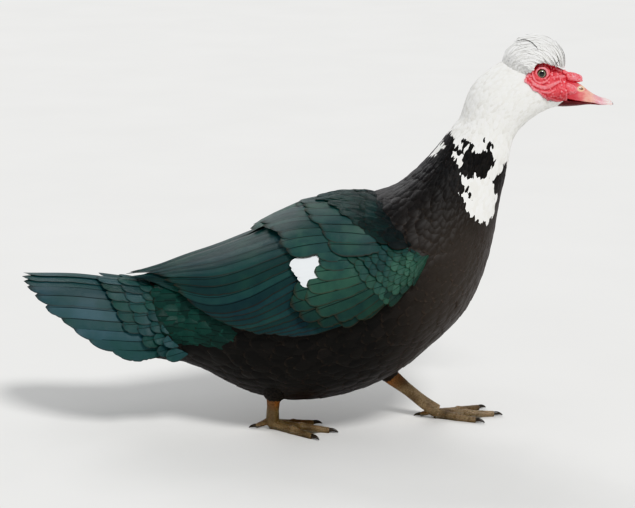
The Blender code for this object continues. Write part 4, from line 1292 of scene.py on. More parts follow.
def quill(sheet, root, tip, half, lifts, lap, hue=0.5, white=0.0, rows=20, bow=0.0, pointed=0.0, soot=0.0):
    """A long feather over a sheet, from root to tip, with a ridge for its shaft and a few parted barbs."""
    root, tip = np.array(root, float), np.array(tip, float)
    middle = (root + tip) / 2
    nudges = np.eye(2) * 0.01
    scale = np.array([np.linalg.norm(sheet(*(middle + n)) - sheet(*(middle - n))) / 0.02 for n in nudges])
    ahead = (tip - root) * scale
    length = np.linalg.norm(ahead)
    ahead /= length
    across = np.array([-ahead[1], ahead[0]]) / scale
    f = np.linspace(0, 1, rows) ** 0.85
    swell = np.minimum(1, 0.5 + f * 1.1)
    start = 1 - half * (1.5 + pointed) / length
    rounded = np.sqrt(np.maximum(0.004, 1 - (np.maximum(0, f - start) / (1 - start)) ** 2))
    share = swell * rounded ** (1 + pointed * 0.6)
    side_c = np.array([-1, -0.72, -0.4, -0.07, 0, 0.07, 0.4, 0.72, 1.0])
    c = np.concatenate([side_c, side_c[-2:0:-1]])
    upper = np.concatenate([np.ones(9), np.zeros(7)])
    split = 1 - 0.07 * (rng.uniform(0, 1, (rows, 2)) > 0.86)
    reach = half * share[:, None] * np.where(c < 0, split[:, :1], split[:, 1:]) * c
    risen = np.minimum(1, f * length / RISE)
    lift = lifts[0] + (lifts[1] - lifts[0]) * risen**2 * (3 - 2 * risen)
    shaft = np.where((np.abs(c) < 0.01) & (upper > 0), min(0.4, half * 0.025), 0.0) * (1 - 0.8 * f[:, None])
    flat = np.sqrt(np.maximum(0, 1 - c**2))
    depth = QUILL_THICKNESS * flat * (1 - 0.45 * f[:, None]) / 2
    height = lift[:, None] + lap * reach - 0.012 * reach**2 / 2 + np.where(upper > 0, depth, -depth) + shaft
    centre = root + (tip - root) * f[:, None] + across * (bow * half * np.sin(math.pi * f) ** 2)[:, None]
    places = centre[:, None] + across * reach[..., None]
    rings = sheet(places[..., 0], places[..., 1], height)
    n = rings.shape[0] * rings.shape[1]
    vane = np.stack([c + 0 * reach, f[:, None] + 0 * reach, 0 * reach], -1).reshape(-1, 3)
    tone = max(soot, rng.uniform(0, QUILL_SOOT))
    marks = {"tone": np.full(n, tone), "hue": np.full(n, hue), "white": np.full(n, white)}
    return loft(rings, folded=True, vane=vane, **marks)


def steps(count, roots, tips, tip_lifts):
    """Root, tip and lift of each feather of a tier, at even steps from the first to the last."""
    for f in np.linspace(0, 1, count):
        root = np.array(roots[0]) * (1 - f) + np.array(roots[1]) * f
        tip = np.array(tips[0]) * (1 - f) + np.array(tips[1]) * f
        yield root, tip, tip_lifts[0] * (1 - f) + tip_lifts[1] * f


def on_atlas(quills):
    """The quills as one shape, each laid out in a cell of its own on the UV map."""
    columns = math.ceil(math.sqrt(len(quills)))
    for i, shape in enumerate(quills):
        cell = np.array([i % columns, i // columns])
        vane = shape.marks["vane"]
        inside = np.stack([vane[:, 0] * 0.45 + 0.5, vane[:, 1] * 0.94 + 0.03], 1)
        shape.marks["OFBake"] = (cell + inside) / columns
    return gathered(quills)


def plain_marks(shape, tone=0.7, hue=0.3):
    """The marks of a quill on a shape that lies under the feathers."""
    n = len(shape.points)
    shape.marks = {
        "vane": np.tile((0.5, 0.5, 0.0), (n, 1)),
        "tone": np.full(n, tone),
        "hue": np.full(n, hue),
        "white": np.zeros(n),
    }
    return shape


def wing_core(side):
    """A curved slab under the feathers, from the bend of the wing to the rump."""
    rings = []
    for x in np.linspace(WING_CORE[-1][0], WING_CORE[0][0], 40):
        lift = knots_at(WING_CORE, x)[0]
        depth = 8 + 16 * math.sin(math.pi * (x - WING_CORE[0][0]) / (WING_CORE[-1][0] - WING_CORE[0][0]))
        outer = wing_point(side, x, np.linspace(0, 1, 20), lift)
        inner = wing_point(side, x, np.linspace(1, 0, 20), lift - depth)
        rings.append(np.concatenate([outer, inner]))
    return plain_marks(loft(rings, folded=True))


def wing(side):
    """All the feathers of one folded wing, from the primaries up to the smallest coverts."""

    def sheet(x, across, lift=0.0):
        """A point of this wing's sheet."""
        return wing_point(side, x, across, lift)

    made = [wing_core(side)]
    for name, (count, roots, tips, half, root_lift, tip_lifts) in QUILL_TIERS.items():
        jitter = TIP_JITTER if "scapulars" in name or name == "tertials" else QUILL_JITTER
        white = 1.0 if name == "white coverts" else 0.0
        pointed = 0.5 if name == "primaries" else 0.1
        for root, tip, lift in steps(count, roots, tips, tip_lifts):
            hue = QUILL_HUES[name] + rng.uniform(-0.12, 0.12)
            tip = tip + rng.normal(0, 1, 2) * jitter
            wide = half * rng.uniform(0.92, 1.06)
            lifts = (root_lift, lift)
            vane = quill(sheet, root, tip, wide, lifts, LAP, hue, white, rows=26, bow=0.1, pointed=pointed)
            made.append(vane)
    for tips, (first, run), half, high, (middle_hue, wander), (dark, darker), rows in LARGE_COVERTS:
        for i, tip in enumerate(tips):
            f = i / (len(tips) - 1)
            root = (first[0] + run[0] * f, first[1] + run[1] * f)
            hue = middle_hue + rng.uniform(-wander, wander)
            soot = dark + darker * f
            made.append(quill(sheet, root, tip, half, (-1, high - f), LAP, hue, rows=rows, soot=soot))
    made += small_coverts(sheet)
    return on_atlas(made)


def small_coverts(sheet):
    """Rows of scale-like coverts over the front of the wing, smaller towards its bend."""
    made = []
    for row in range(COVERT_ROWS):
        for across in np.arange(0.02 + COVERT_ACROSS / 2 * (row % 2), 1.02, COVERT_ACROSS):
            x = COVERT_FIRST + COVERT_PITCH * row + (0.9 - across) * COVERT_SLANT + rng.normal(0, 1.2)
            if x > COVERT_LAST:
                continue
            size = np.interp(x, (0, 70, COVERT_LAST), (1.0, 0.85, 0.42))
            root = (min(x + 34 * size, 137.5), across + rng.normal(0, 0.006))
            hue = 0.1 + 0.3 * across + rng.uniform(-0.15, 0.15)
            lifts = (-1.5, np.interp(x, (60, COVERT_LAST), (5.4, 1.2)))
            soot = max(np.interp(x, (108, COVERT_LAST), (0, 0.9)), np.interp(across, (0.0, 0.2), (1, 0)))
            made.append(quill(sheet, root, (x, across), 11.5 * size, lifts, LAP, hue, rows=12, soot=soot))
    return made


def tail_core():
    """The root of the tail: as full as the rump in front, and thinning to a roof under the feathers."""
    arc = np.linspace(-TAIL_CORE_ARC, TAIL_CORE_ARC, 31)
    rings = []
    for f in np.linspace(0, 1, 14):
        xs = TAIL_ROOT + 2.5 - (80 - 30 * (arc / TAIL_CORE_ARC) ** 2) * f
        lift = 0.5 - 5.5 * min(1.0, f * 2)
        depth = 40 - 37 * f**0.7
        outer = tail_point(xs, arc, np.full(31, lift))
        inner = tail_point(xs[::-1], arc[::-1], np.full(31, lift - depth))
        rings.append(np.concatenate([outer, inner]))
    return plain_marks(loft(rings, folded=True))


def tail():
    """The long feathers of the tail and the coverts over and under their roots."""
    made = [tail_core()]
    for side in SIDES.values():
        for turn, tip in TAIL_FEATHERS:
            middle = turn == TAIL_FEATHERS[0][0]
            lifts = (-6, MIDDLE_LIFTS[side] if middle else 0)
            lap = TAIL_LAP if middle else -side * TAIL_LAP
            hue = rng.uniform(0.3, 0.9)
            root = (TAIL_ROOT - 8, side * turn)
            end = (tip, side * turn)
            vane = quill(tail_point, root, end, TAIL_FEATHER_HALF, lifts, lap, hue, rows=30, pointed=0.6)
            made.append(vane)
        for count, roots, tips, half, root_lift, tip_lifts in TAIL_COVERTS:
            ends = [[(x, side * turn) for x, turn in pair] for pair in (roots, tips)]
            for root, tip, lift in steps(count, *ends, tip_lifts):
                hue = rng.uniform(0.0, 0.5)
                made.append(quill(tail_point, root, tip, half, (root_lift, lift), -side * LAP, hue, rows=18))
    for count, roots, tips, half, root_lift, tip_lifts in UNDER_COVERTS:
        for root, tip, lift in steps(count, roots, tips, tip_lifts):
            made.append(quill(tail_point, root, tip, half, (root_lift, lift), 0.0, 0.1, rows=16))
    return on_atlas(made)


def crest_map(angle, turn):
    """The place on the UV map of a plume rooted at an angle and turn of the crest."""
    return np.stack([0.5 + 0.49 * turn / 90, 0.02 + 0.96 * (angle + 12) / 174, 0 * turn], -1)


def parting_shade_plumes():
    """Roots of the few fine dark plumes of painted shade, laid end to end along their paths."""
    made = {key: [] for key in ROOT_MARKS}
    for path in PARTING_SHADE_PATHS:
        x, z = smooth_path(path, 2 * len(path) + 1).T
        reach = np.hypot(x - CREST_CENTRE[0], z - CREST_CENTRE[2])
        angle = np.degrees(np.arctan2(z - CREST_CENTRE[2], x - CREST_CENTRE[0]))
        lift = knots_at(CREST_RISE, angle)[0] + 1.3
        turn = -np.degrees(np.arccos(np.minimum(1, reach / (np.interp(angle, *zip(*CREST_OUTLINE)) + lift))))
        points = crest_point(angle, turn, lift)
        for i in range(len(points) - 1):
            lie = points[i + 1] - points[i]
            length = np.linalg.norm(lie)
            out = points[i] - CREST_CENTRE
            made["at"].append(points[i])
            made["out"].append(out / np.linalg.norm(out))
            made["lie"].append(lie / length)
            made["size"].append(np.array((length * 1.8, 0.9, length)) * MM)
            made["root"].append(crest_map(angle[i], turn[i]))
            made["white"].append(0.0)
            made["tone"].append(0.5)
    return {key: np.array(values) for key, values in made.items()}


def crest(material):
    """Soft slim plumes from the forehead to the nape, swept back over a dome."""
    rows = []
    angles = [*np.arange(-9, 24, CREST_PITCH[0] / 2), *np.arange(24, 158, CREST_PITCH[0])]
    for row, angle in enumerate(angles):
        for turn in np.arange(-84 + CREST_PITCH[1] / 2 * (row % 2), 85, CREST_PITCH[1]):
            rows.append((angle + rng.normal(0, 1.2), turn + rng.normal(0, 1.0)))
    angle, turn = np.array(rows).T
    arc = rng.uniform(*PLUME_ARC, len(angle))
    risen, risen_tip = (knots_at(CREST_RISE, a)[0] for a in (angle, angle + arc))
    at = crest_point(angle, turn, risen + np.interp(angle, (-8, 30), (-1.5, -3.0)))
    sway = turn * 0.97 + rng.normal(0, 2.2, len(angle))
    sunk = np.interp(angle + arc, *CREST_SINK)
    tip = crest_point(angle + arc, sway, risen_tip - sunk + rng.normal(0.2, 0.1, len(angle)))
    middle = crest_point(angle + arc / 2, turn, 0.0)
    keep = np.ones(len(angle), bool)
    for points, over in ((at, -0.6), (middle, 1.8), (tip, 0.0)):
        keep &= outline_depth(points[:, 0], points[:, 2], MASK_OUTLINE) < over
    keep &= (tip[:, 2] > rng.uniform(*CREST_TIP_FLOOR, len(angle))) & (at[:, 2] > CREST_ROOT_FLOOR)
    at, tip, middle, angle, turn = (v[keep] for v in (at, tip, middle, angle, turn))
    lie = tip - at
    length = np.linalg.norm(lie, axis=1)
    out = middle - (CREST_CENTRE + (0, 0, -10))
    n = len(at)
    roots = {
        "at": at,
        "out": unit(out),
        "lie": lie / length[:, None],
        "size": np.stack([length, rng.uniform(*PLUME_WIDTH, n), length], 1) * MM,
        "root": crest_map(angle, turn),
        "white": np.ones(n),
        "tone": rng.uniform(0, 1, n),
    }
    # The dark plumes stand for the shaded parting between two tufts: painted shade.
    dark = parting_shade_plumes()
    roots = {key: np.concatenate([values, dark[key]]) for key, values in roots.items()}
    kinds = feather_kinds("plume", [feather(1, 9, SLIM, bulge, 0.003, 0.007) for bulge in (0.1, 0.11, 0.12)])
    tree = bpy.data.node_groups["contour plumage"]
    return coat("crest_plumes", tree, roots, kinds, material, seed=41, sway=0.05, ruffle=0.015)


# Skin, face and bill.


def skin():
    """One skin of the trunk, neck, head and thighs, as deep under the solids as the coat is."""
    t = np.linspace(0, FACE_AT - 0.2, 220)
    depth = knots_at(COAT_DEPTH, t)[0]
    angles = np.arange(96) * 360 / 96
    trunk = loft(body_point(t[:, None] + 0 * angles, angles + 0 * t[:, None], -depth[:, None]))
    pieces = [trunk]
    for name in LEGS:
        path, radii = leg_path(name, "thigh", THIGH_RINGS)
        end = int(THIGH_RINGS * FEATHERED[name])
        radii = (radii - THIGH_DEPTH) * thigh_taper(THIGH_RINGS)
        pieces.append(tube(path[:end], radii[:end], 32))
    mesh = finished("skin", gathered(pieces), *remeshed(voxel=2.8))
    return noted(mesh, white=whiteness(points_of(mesh)))


def mantle(material):
    """Contour feathers over the shoulders, where the two wings meet across the back."""
    for name, side in SIDES.items():
        x, across = [], []
        for row, at_x in enumerate(np.arange(-16, 116, MANTLE_PITCH[0])):
            _, half, low, top, reach = rows_by_first(WING_STATIONS, at_x)
            step = MANTLE_PITCH[1] / math.radians(reach) / (top - low + half) * 2
            first = knots_at(MANTLE_EDGE, at_x)[0] + step / 2 * (row % 2)
            places = np.arange(first, 90 / reach + step / 2, step)
            x.append(at_x + rng.normal(0, 1.2, len(places)))
            across.append(places + rng.normal(0, 0.006, len(places)))
        x, across = np.concatenate(x), np.concatenate(across)
        n = len(x)
        length = rng.uniform(*MANTLE_LENGTH, n)
        high = knots_at(MANTLE_LIFT, x)[0]
        at = wing_point(side, np.minimum(x + length, 137), across, knots_at(MANTLE_LIFT, x + length)[0] - 2.5)
        lie = wing_point(side, x, across, high) - at
        out = wing_point(side, x, across, np.full(n, 20.0)) - wing_point(side, x, across, np.full(n, 0.0))
        roots = {
            "at": at,
            "out": out / 20,
            "lie": unit(lie),
            "size": np.stack([length, np.full(n, MANTLE_WIDTH), length], 1) * MM,
            "root": np.stack([on_square(x), on_square(across), 0 * x], 1),
            "white": np.zeros(n),
            "tone": np.clip(np.interp(x, (10, 95), (0.1, 1.0)) + rng.normal(0, 0.12, n), 0, 1),
        }
        kinds = bpy.data.collections["broad feather"]
        tree = bpy.data.node_groups["contour plumage"]
        mesh = coat(f"mantle_{name}", tree, roots, kinds, material, seed=51)
        piece(f"mantle_{name}", mesh, material, "torso")


def thigh_coat(material):
    """Short feathers that lie down each thigh."""
    kinds = bpy.data.collections["broad feather"]
    tree = bpy.data.node_groups["contour plumage"]
    for name in SIDES:
        path, radii = leg_path(name, "thigh", THIGH_STEPS)
        radii = (radii - THIGH_DEPTH) * thigh_taper(THIGH_STEPS)
        made = {key: [] for key in ROOT_MARKS}
        for i in range(THIGH_FIRST, int(THIGH_STEPS * FEATHERED[name]), 2):
            ahead = path[min(i + 1, THIGH_STEPS - 1)] - path[i - 1]
            ahead /= np.linalg.norm(ahead)
            across = np.cross(ahead, (1, 0, 0))
            across /= np.linalg.norm(across)
            up = np.cross(ahead, across)
            count = int(2 * math.pi * radii[i] / THIGH_PITCH)
            for k in range(count):
                a = 2 * math.pi * (k + 0.5 * (i % 2)) / count
                out = math.cos(a) * across + math.sin(a) * up
                made["at"].append(path[i] + out * radii[i])
                made["out"].append(out)
                made["lie"].append(ahead + out * (0.1 - 0.3 * i / THIGH_STEPS))
                made["size"].append(np.array(THIGH_FEATHER) * MM)
                made["root"].append((0.01 + 0.97 * k / count, i - THIGH_FIRST, 0))
                made["white"].append(0.0)
                made["tone"].append(rng.uniform())
        roots = {key: np.array(values) for key, values in made.items()}
        roots["root"][:, 1] = on_square(roots["root"][:, 1])
        mesh = coat(f"thigh_coat_{name}", tree, roots, kinds, material, seed=31)
        piece(f"thigh_coat_{name}", mesh, material, "thighs")


def thigh_taper(count):
    """How much narrower than its solid the thigh is along its length, down to the bare shank."""
    return 1 - 0.3 * np.linspace(0, 1, count) ** 3


def leg_path(name, part_name, count):
    """Points along a thigh or a shank, and the radius at each."""
    rows = smooth_path(LEGS[name][part_name], count)
    return rows[:, :3] * (1, SIDES[name], 1), rows[:, 3]


def body_side(x, z):
    """Half the width of the head at points of its side view."""
    t = np.arange(13.4, FACE_AT, 0.02)
    back, belly = body_point(t, 90.0), body_point(t, 270.0)
    centre, up = (back + belly) / 2, (back - belly) / 2
    height = np.linalg.norm(up, axis=1)
    half = rows_at(BODY_TABLE, t)[:, 4]
    x, z = np.atleast_1d(x), np.atleast_1d(z)
    away = np.stack([x, 0 * x, z], -1)[:, None] - centre
    off = np.abs(away[..., 0] * up[:, 2] - away[..., 2] * up[:, 0]) / height
    best = np.argmin(off, 1)
    rise = np.sum(away[np.arange(len(x)), best] * up[best], 1) / height[best] ** 2
    return half[best] * np.sqrt(np.maximum(0, 1 - rise**2))


def outline_depth(x, z, outline):
    """How far inside an outline of the side view points lie; less than 0 outside it."""
    outline = np.array(outline, float)
    nearest = np.full(len(x), 1e9)
    for a, b in zip(outline, np.roll(outline, -1, 0)):
        side = b - a
        f = np.clip(((x - a[0]) * side[0] + (z - a[1]) * side[1]) / (side @ side), 0, 1)
        nearest = np.minimum(nearest, np.hypot(x - a[0] - f * side[0], z - a[1] - f * side[1]))
    return np.where(in_outline(x, z, outline), nearest, -nearest)


def shape_of(mesh):
    """The shape of a mesh, in triangles."""
    mesh.calc_loop_triangles()
    tris = np.empty(len(mesh.loop_triangles) * 3, np.int32)
    mesh.loop_triangles.foreach_get("vertices", tris)
    return Shape(points_of(mesh), (), tris.reshape(-1, 3))


def cut(name, mesh, cutters):
    """The mesh with closed shapes taken out of it."""
    bodies = bpy.data.collections.new(name)
    for i, cutter in enumerate(cutters):
        bodies.objects.link(bpy.data.objects.new(f"{name} {i}", mesh_of(name, cutter)))
    settings = {"operand_type": "COLLECTION", "collection": bodies, "solver": "MANIFOLD"}
    made = finished(name, shape_of(mesh), ("BOOLEAN", settings))
    for body in list(bodies.objects):
        bpy.data.objects.remove(body)
    bpy.data.collections.remove(bodies)
    return made


def relief_of(mesh, rounds, spread):
    """How far each point stands out of the smoothed skin round it: 0 in creases, 1 on bulbs."""
    points, normals = points_of(mesh), normals_of(mesh)
    ends = np.empty(len(mesh.edges) * 2, np.int32)
    mesh.edges.foreach_get("vertices", ends)
    ends = ends.reshape(-1, 2)
    here, there = np.concatenate([ends[:, 0], ends[:, 1]]), np.concatenate([ends[:, 1], ends[:, 0]])
    count = np.bincount(here, minlength=len(points))
    smooth = points.copy()
    for _ in range(rounds):
        sums = [np.bincount(here, smooth[there, k], len(points)) for k in range(3)]
        smooth = np.stack(sums, 1) / count[:, None]
    return np.clip(0.5 + np.einsum("ij,ij->i", points - smooth, normals) / spread, 0, 1)


def side_point(side, x, z, lift):
    """A point on the side of the head, stood out by lift."""
    return np.array([x, side * (body_side(x, z)[0] + lift), z])


def mask():
    """The bare part of the head, which rises out of the feathers inside the mask's outline."""
    t, angles = np.meshgrid(np.linspace(MASK_AT, FACE_AT, 80), np.arange(150) * 2.4, indexing="ij")
    bare = body_point(t, angles)
    depth = outline_depth(bare[..., 0].ravel(), bare[..., 2].ravel(), MASK_OUTLINE).reshape(t.shape)
    return loft(body_point(t, angles, np.interp(depth, (-2.5, 0, 3), (-4.0, -0.6, MASK_RELIEF))))


def bulbs(side):
    """Small bulbs of skin in a row along the back and lower rim of the mask, and a few between the folds."""
    rim = np.array(MASK_RIM, float)
    run = run_along(rim)
    for place in np.arange(1, run[-1], RIM_STEP):
        x, z = (np.interp(place, run, rim[:, k]) + rng.normal(0, 0.3) for k in (0, 1))
        radius = rng.uniform(*RIM_BULB)
        yield ellipsoid(side_point(side, x, z, 0.6), (radius, radius * 0.8, radius), 12, 8)
    for _ in range(FACE_BULBS):
        x, z = rng.uniform(257, 306), rng.uniform(424, 467)
        inside = outline_depth(np.array([x]), np.array([z]), MASK_OUTLINE)[0]
        if inside > 2 and math.hypot(x - EYE_X, z - EYE_Z) > EYE_CLEARING:
            radius = rng.uniform(*FACE_BULB)
            yield ellipsoid(side_point(side, x, z, MASK_RELIEF - 0.2), (radius, radius * 0.7, radius), 10, 6)


def ring_path(side, radius, y_off, start=0, end=360):
    """Points round one eye at a radius, from one angle to another."""
    angles = np.radians(np.linspace(start, end, RING_POINTS))
    places = [(EYE_X + math.cos(a) * radius, side * y_off, EYE_Z + math.sin(a) * radius) for a in angles]
    return np.array(places)


def face():
    """The bare red skin: mask, knob, lobes, folds, bulbs and lids, melted into one."""
    lobes = [ellipsoid(centre, radii, 40, 24, tilt) for centre, radii, tilt in KNOB]
    pieces = [mask(), *lobes, ellipsoid(*MOUTH[0], 40, 24)]
    lid_y = EYE_OFFSET + math.sqrt((EYE_RADIUS + LID_THICKNESS) ** 2 - LID_RING**2) - 1.3
    for side in SIDES.values():
        centre, radii, tilt = SIDE_LOBE
        pieces.append(ellipsoid((centre[0], side * centre[1], centre[2]), radii, 40, 24, tilt))
        for wider, inward, radius in LIDS:
            path = ring_path(side, LID_RING + wider, lid_y - inward)
            pieces.append(tube(path, [radius] * RING_POINTS, 16))
        ring = ring_path(side, EYE_BAG_RING, 0, *EYE_BAG_ARC)
        bag = [side_point(side, x, z, MASK_RELIEF - 0.2) for x, _, z in ring]
        pieces.append(tube(bag, 1.5 * np.sin(np.linspace(0.25, math.pi - 0.25, RING_POINTS)), 12))
        for fold in FOLDS.values():
            rows = smooth_path(fold, 26)
            path = [side_point(side, x, z, MASK_RELIEF - 1.7) for x, z, _ in rows]
            pieces.append(tube(path, rows[:, 2], 16))
        pieces += bulbs(side)
    for _ in range(KNOB_BULBS):
        (x, _, z), (length, width, height), _ = KNOB[0]
        a, f = rng.uniform(0, 2 * math.pi), rng.uniform(-0.85, 0.95)
        girth = math.sqrt(1 - f * f) * 0.88
        place = (x + f * length, width * girth * math.cos(a), z - 2.0 * f + height * girth * math.sin(a))
        pieces.append(ellipsoid(place, (rng.uniform(1.5, 2.6), 1.4, 1.2), 10, 6, -9))
    mesh = finished("face", gathered(pieces), *remeshed(voxel=0.55, rounds=3))
    points = points_of(mesh)
    mesh = moved(mesh, swells(points, FACE_SWELLS))
    socket_radii = (EYE_RADIUS + 0.1,) * 3
    centres = [(EYE_X, side * EYE_OFFSET, EYE_Z) for side in SIDES.values()]
    mesh = cut("sockets", mesh, [ellipsoid(centre, socket_radii, 48, 32) for centre in centres])
    relief = 0.6 * relief_of(mesh, 40, 2.4) + 0.4 * relief_of(mesh, 6, 0.35)
    return noted(mesh, relief=relief)


def bill_side(x, z):
    """Half the width of the upper bill at a point of its side view."""
    _, top, edge, half = rows_by_first(UPPER_BILL, x)
    rise = np.clip((z - edge) / (top - edge), 0, 1) ** (1 / DOME)
    return half * math.sqrt(1 - rise**2)


def mandible(stations, domed):
    """A half of the bill: a loft whose sections are domed on one side and nearly flat on the other."""
    rings = []
    for x in np.linspace(stations[0][0], stations[-1][0], 90):
        _, top, edge, half = rows_by_first(stations, x)
        a = np.linspace(0, math.pi, 36)
        y, rise = half * np.cos(a), (top - edge) * np.sin(a) ** DOME
        z = edge + rise if domed else top - rise
        y_in = half * 0.86 * np.linspace(1, -1, 30)
        z_in = (edge + 0.7 if domed else top - 0.7) + 0 * y_in
        rings.append(np.stack([np.full(66, x), np.concatenate([y, -y_in]), np.concatenate([z, z_in])], 1))
    return loft(rings)


def upper_bill():
    """The upper bill with its nail, and a raised rim round each nostril, which opens right through."""
    stations = (BILL_ROOT, *UPPER_BILL)
    pieces = [mandible(stations, domed=True), ellipsoid(NAIL[0], NAIL[1], 30, 20, NAIL[2])]
    tilt = math.radians(NOSTRIL_TILT)
    for side in SIDES.values():
        rim = []
        for a in np.radians(np.linspace(0, 360, 30)):
            out = math.cos(a) * (NOSTRIL_RADII[0] + NOSTRIL_RIM[0])
            up = math.sin(a) * (NOSTRIL_RADII[1] + NOSTRIL_RIM[0])
            x = NOSTRIL_X + out * math.cos(tilt) - up * math.sin(tilt)
            z = NOSTRIL_Z + out * math.sin(tilt) + up * math.cos(tilt)
            rim.append((x, side * (bill_side(x, z) - 0.2), z))
        pieces.append(tube(rim, [NOSTRIL_RIM[1]] * 30, 10))
    mesh = finished("bill", gathered(pieces), *remeshed(voxel=0.46, rounds=3))
    length, height = NOSTRIL_RADII
    hole = ellipsoid((NOSTRIL_X, 0, NOSTRIL_Z), (length, 30, height), 30, 24, NOSTRIL_TILT)
    return cut("nostril", mesh, [hole])


def lamellae():
    """The comb of fine plates along the inner edge of the upper bill."""
    made = []
    for side in SIDES.values():
        for x in np.arange(309, 338, COMB_PITCH):
            _, _, edge, half = rows_by_first(UPPER_BILL, max(x, UPPER_BILL[0][0]))
            y = side * (half - 1.5)
            path = [(x, y, edge + 1.2), (x - 0.2, y, edge), (x - 0.4, y - side * 0.2, edge - 0.35)]
            made.append(tube(path, (0.26, 0.26, 0.12), 6, flat=2.2))
    return gathered(made)


def eye(side):
    """An eyeball with the cornea a little proud of it."""
    ball = ellipsoid((0, 0, 0), (1, 1, 1), 64, 48)
    points = ball.points[:, [1, 0, 2]]
    front = np.clip((points[:, 1] * side - CORNEA_FROM) / 0.22, 0, 1)
    points = points * (EYE_RADIUS + CORNEA_RISE * front**0.8)[:, None]
    return Shape(points + (EYE_X, side * EYE_OFFSET, EYE_Z), ball.quads, ball.tris).facing_out()


def toe_end(name, angle, length):
    """Where a toe that leaves the foot at an angle ends, and its direction."""
    leg = LEGS[name]
    turn = math.radians(leg["heading"] + SIDES[name] * angle)
    ahead = np.array([math.cos(turn), math.sin(turn), 0])
    return np.array([*leg["foot"], 0]) + ahead * length, ahead


def toe(name, angle, length, radius):
    """A front toe, which leaves the foot at an angle."""
    start, ahead = toe_end(name, angle, 0)
    rows = smooth_path(TOE_PATH, 40)
    path = [start + ahead * length * f + (0, 0, z) for f, z, _ in rows]
    return tube(path, radius * rows[:, 2], 20, np.cross((0, 0, 1), ahead))


def webs(name):
    """The skin between the front toes, a plate with a hollow front edge."""
    ends = [toe_end(name, angle, length * 0.9)[0] for angle, length, _ in TOES]
    root = toe_end(name, 180, 5)[0]
    edge = []
    for a, b in zip(ends, ends[1:]):
        for f in np.linspace(0, 1, 9)[:-1]:
            point = a + (b - a) * f
            edge.append(point - (point - root) * 0.36 * f * (1 - f))
    outline = np.array([root, *edge, ends[-1]])
    return loft([outline, outline + (0, 0, WEB_THICKNESS)])


def hind_toe(name):
    """The short toe at the back of the foot."""
    start, ahead = toe_end(name, HIND_TOE_ANGLE, 0)
    rows = smooth_path(HIND_TOE_PATH, 20)
    path = [start + ahead * out + (0, 0, z) for out, z, _ in rows]
    return tube(path, rows[:, 2], 16, np.cross((0, 0, 1), ahead))


def scutes(name, points, normals):
    """How deep the grooves between the scutes are at each point: rings over the toes and down the shank."""
    groove = np.zeros(len(points))
    for angle, length, radius in TOES:
        start, ahead = toe_end(name, angle, 0)
        run = (points - start) @ ahead
        off = np.linalg.norm((points - start)[:, :2] - run[:, None] * ahead[:2], axis=1)
        on_top = (off < radius) & (run > 6) & (run < length) & (normals[:, 2] > 0.2)
        cleft = np.abs((run / SCUTE_PITCH) % 1 - 0.5) * 2
        groove = np.where(on_top, np.maximum(groove, cleft**8), groove)
    path, radii = leg_path(name, "shank", 120)
    run = run_along(path)
    gaps = np.linalg.norm(points[:, None] - path[None, ::4], axis=2)
    nearest = np.argmin(gaps, 1) * 4
    on_shank = (gaps.min(1) < radii[nearest] + 1.5) & (normals[:, 0] > 0.1) & (points[:, 2] > 12)
    cleft = np.abs(run[nearest] / SCUTE_PITCH % 1 - 0.5) * 2
    return np.where(on_shank, np.maximum(groove, cleft**8), groove)


def leg(name):
    """Shank, toes and webs in one scaly skin, pressed flat where it rests on the floor."""
    path, radii = leg_path(name, "shank", 40)
    pieces = [tube(path, radii, 28), webs(name), hind_toe(name), *[toe(name, *row) for row in TOES]]
    mesh = finished("leg", gathered(pieces), *remeshed(voxel=0.78))
    points, normals = points_of(mesh), normals_of(mesh)
    groove = scutes(name, points, normals)
    mesh = moved(mesh, -SCUTE_GROOVE * groove + 0.15 * ripple(points, 4))
    points = points_of(mesh)
    points[:, 2] = np.maximum(points[:, 2], 0)
    mesh = placed(mesh, points)
    # Skin is web where it lies low and away from the middle line of every toe.
    axis = np.full(len(points), 99.0)
    for angle, _, _ in TOES:
        start, ahead = toe_end(name, angle, 0)
        run = np.clip((points - start) @ ahead, 0, 80)
        axis = np.minimum(axis, np.linalg.norm((points - start)[:, :2] - run[:, None] * ahead[:2], axis=1))
    web = np.clip((axis - 4) / 3, 0, 1) * (points[:, 2] < 4)
    # Painted light: an orange glow of sunlight lies round the joint at the end of the thigh.
    hock = LEGS[name]["thigh"][-1]
    gap = np.linalg.norm(points - (hock[0], SIDES[name] * hock[1], hock[2] + 2), axis=1)
    return noted(mesh, web=web, joint=np.clip((24 - gap) / 12, 0, 1))


def claw(name, angle, length):
    """A curved claw at the end of a toe."""
    start, ahead = toe_end(name, angle, length * 0.97)
    rise = 3.0 if angle == HIND_TOE_ANGLE else 3.6
    rows = smooth_path(CLAW_PATH, 20)
    path = [start + ahead * (CLAW_LENGTH * f) + (0, 0, rise + z) for f, z, _ in rows]
    return tube(path, rows[:, 2], 18, np.cross((0, 0, 1), ahead))


def head_pieces():
    """The bare face, the bill and the eyes."""
    piece("face_skin", face(), caruncle_skin(), "face", ("face",))
    horn = bill_horn("pink bill horn", BILL_STOPS)
    piece("upper_bill_horn", upper_bill(), horn, "bill_upper", ("bill_upper",))
    piece("bill_lamellae", mesh_of("bill_lamellae", lamellae()), horn, "bill_upper")
    lower = gathered([mandible(LOWER_BILL, domed=False), ellipsoid(*MOUTH[1], 40, 24)])
    lower = finished("lower_bill", lower, *remeshed(voxel=0.6, rounds=3))
    dark = bill_horn("dark red bill horn", MANDIBLE_STOPS, upper=False)
    piece("lower_bill_horn", lower, dark, "bill_lower", ("bill_lower",))
    for name, side in SIDES.items():
        mesh = mesh_of(f"eyeball_{name}", eye(side))
        piece(f"eyeball_{name}", mesh, wet_eye(name, side), "eyes", (f"eye_{name}",))


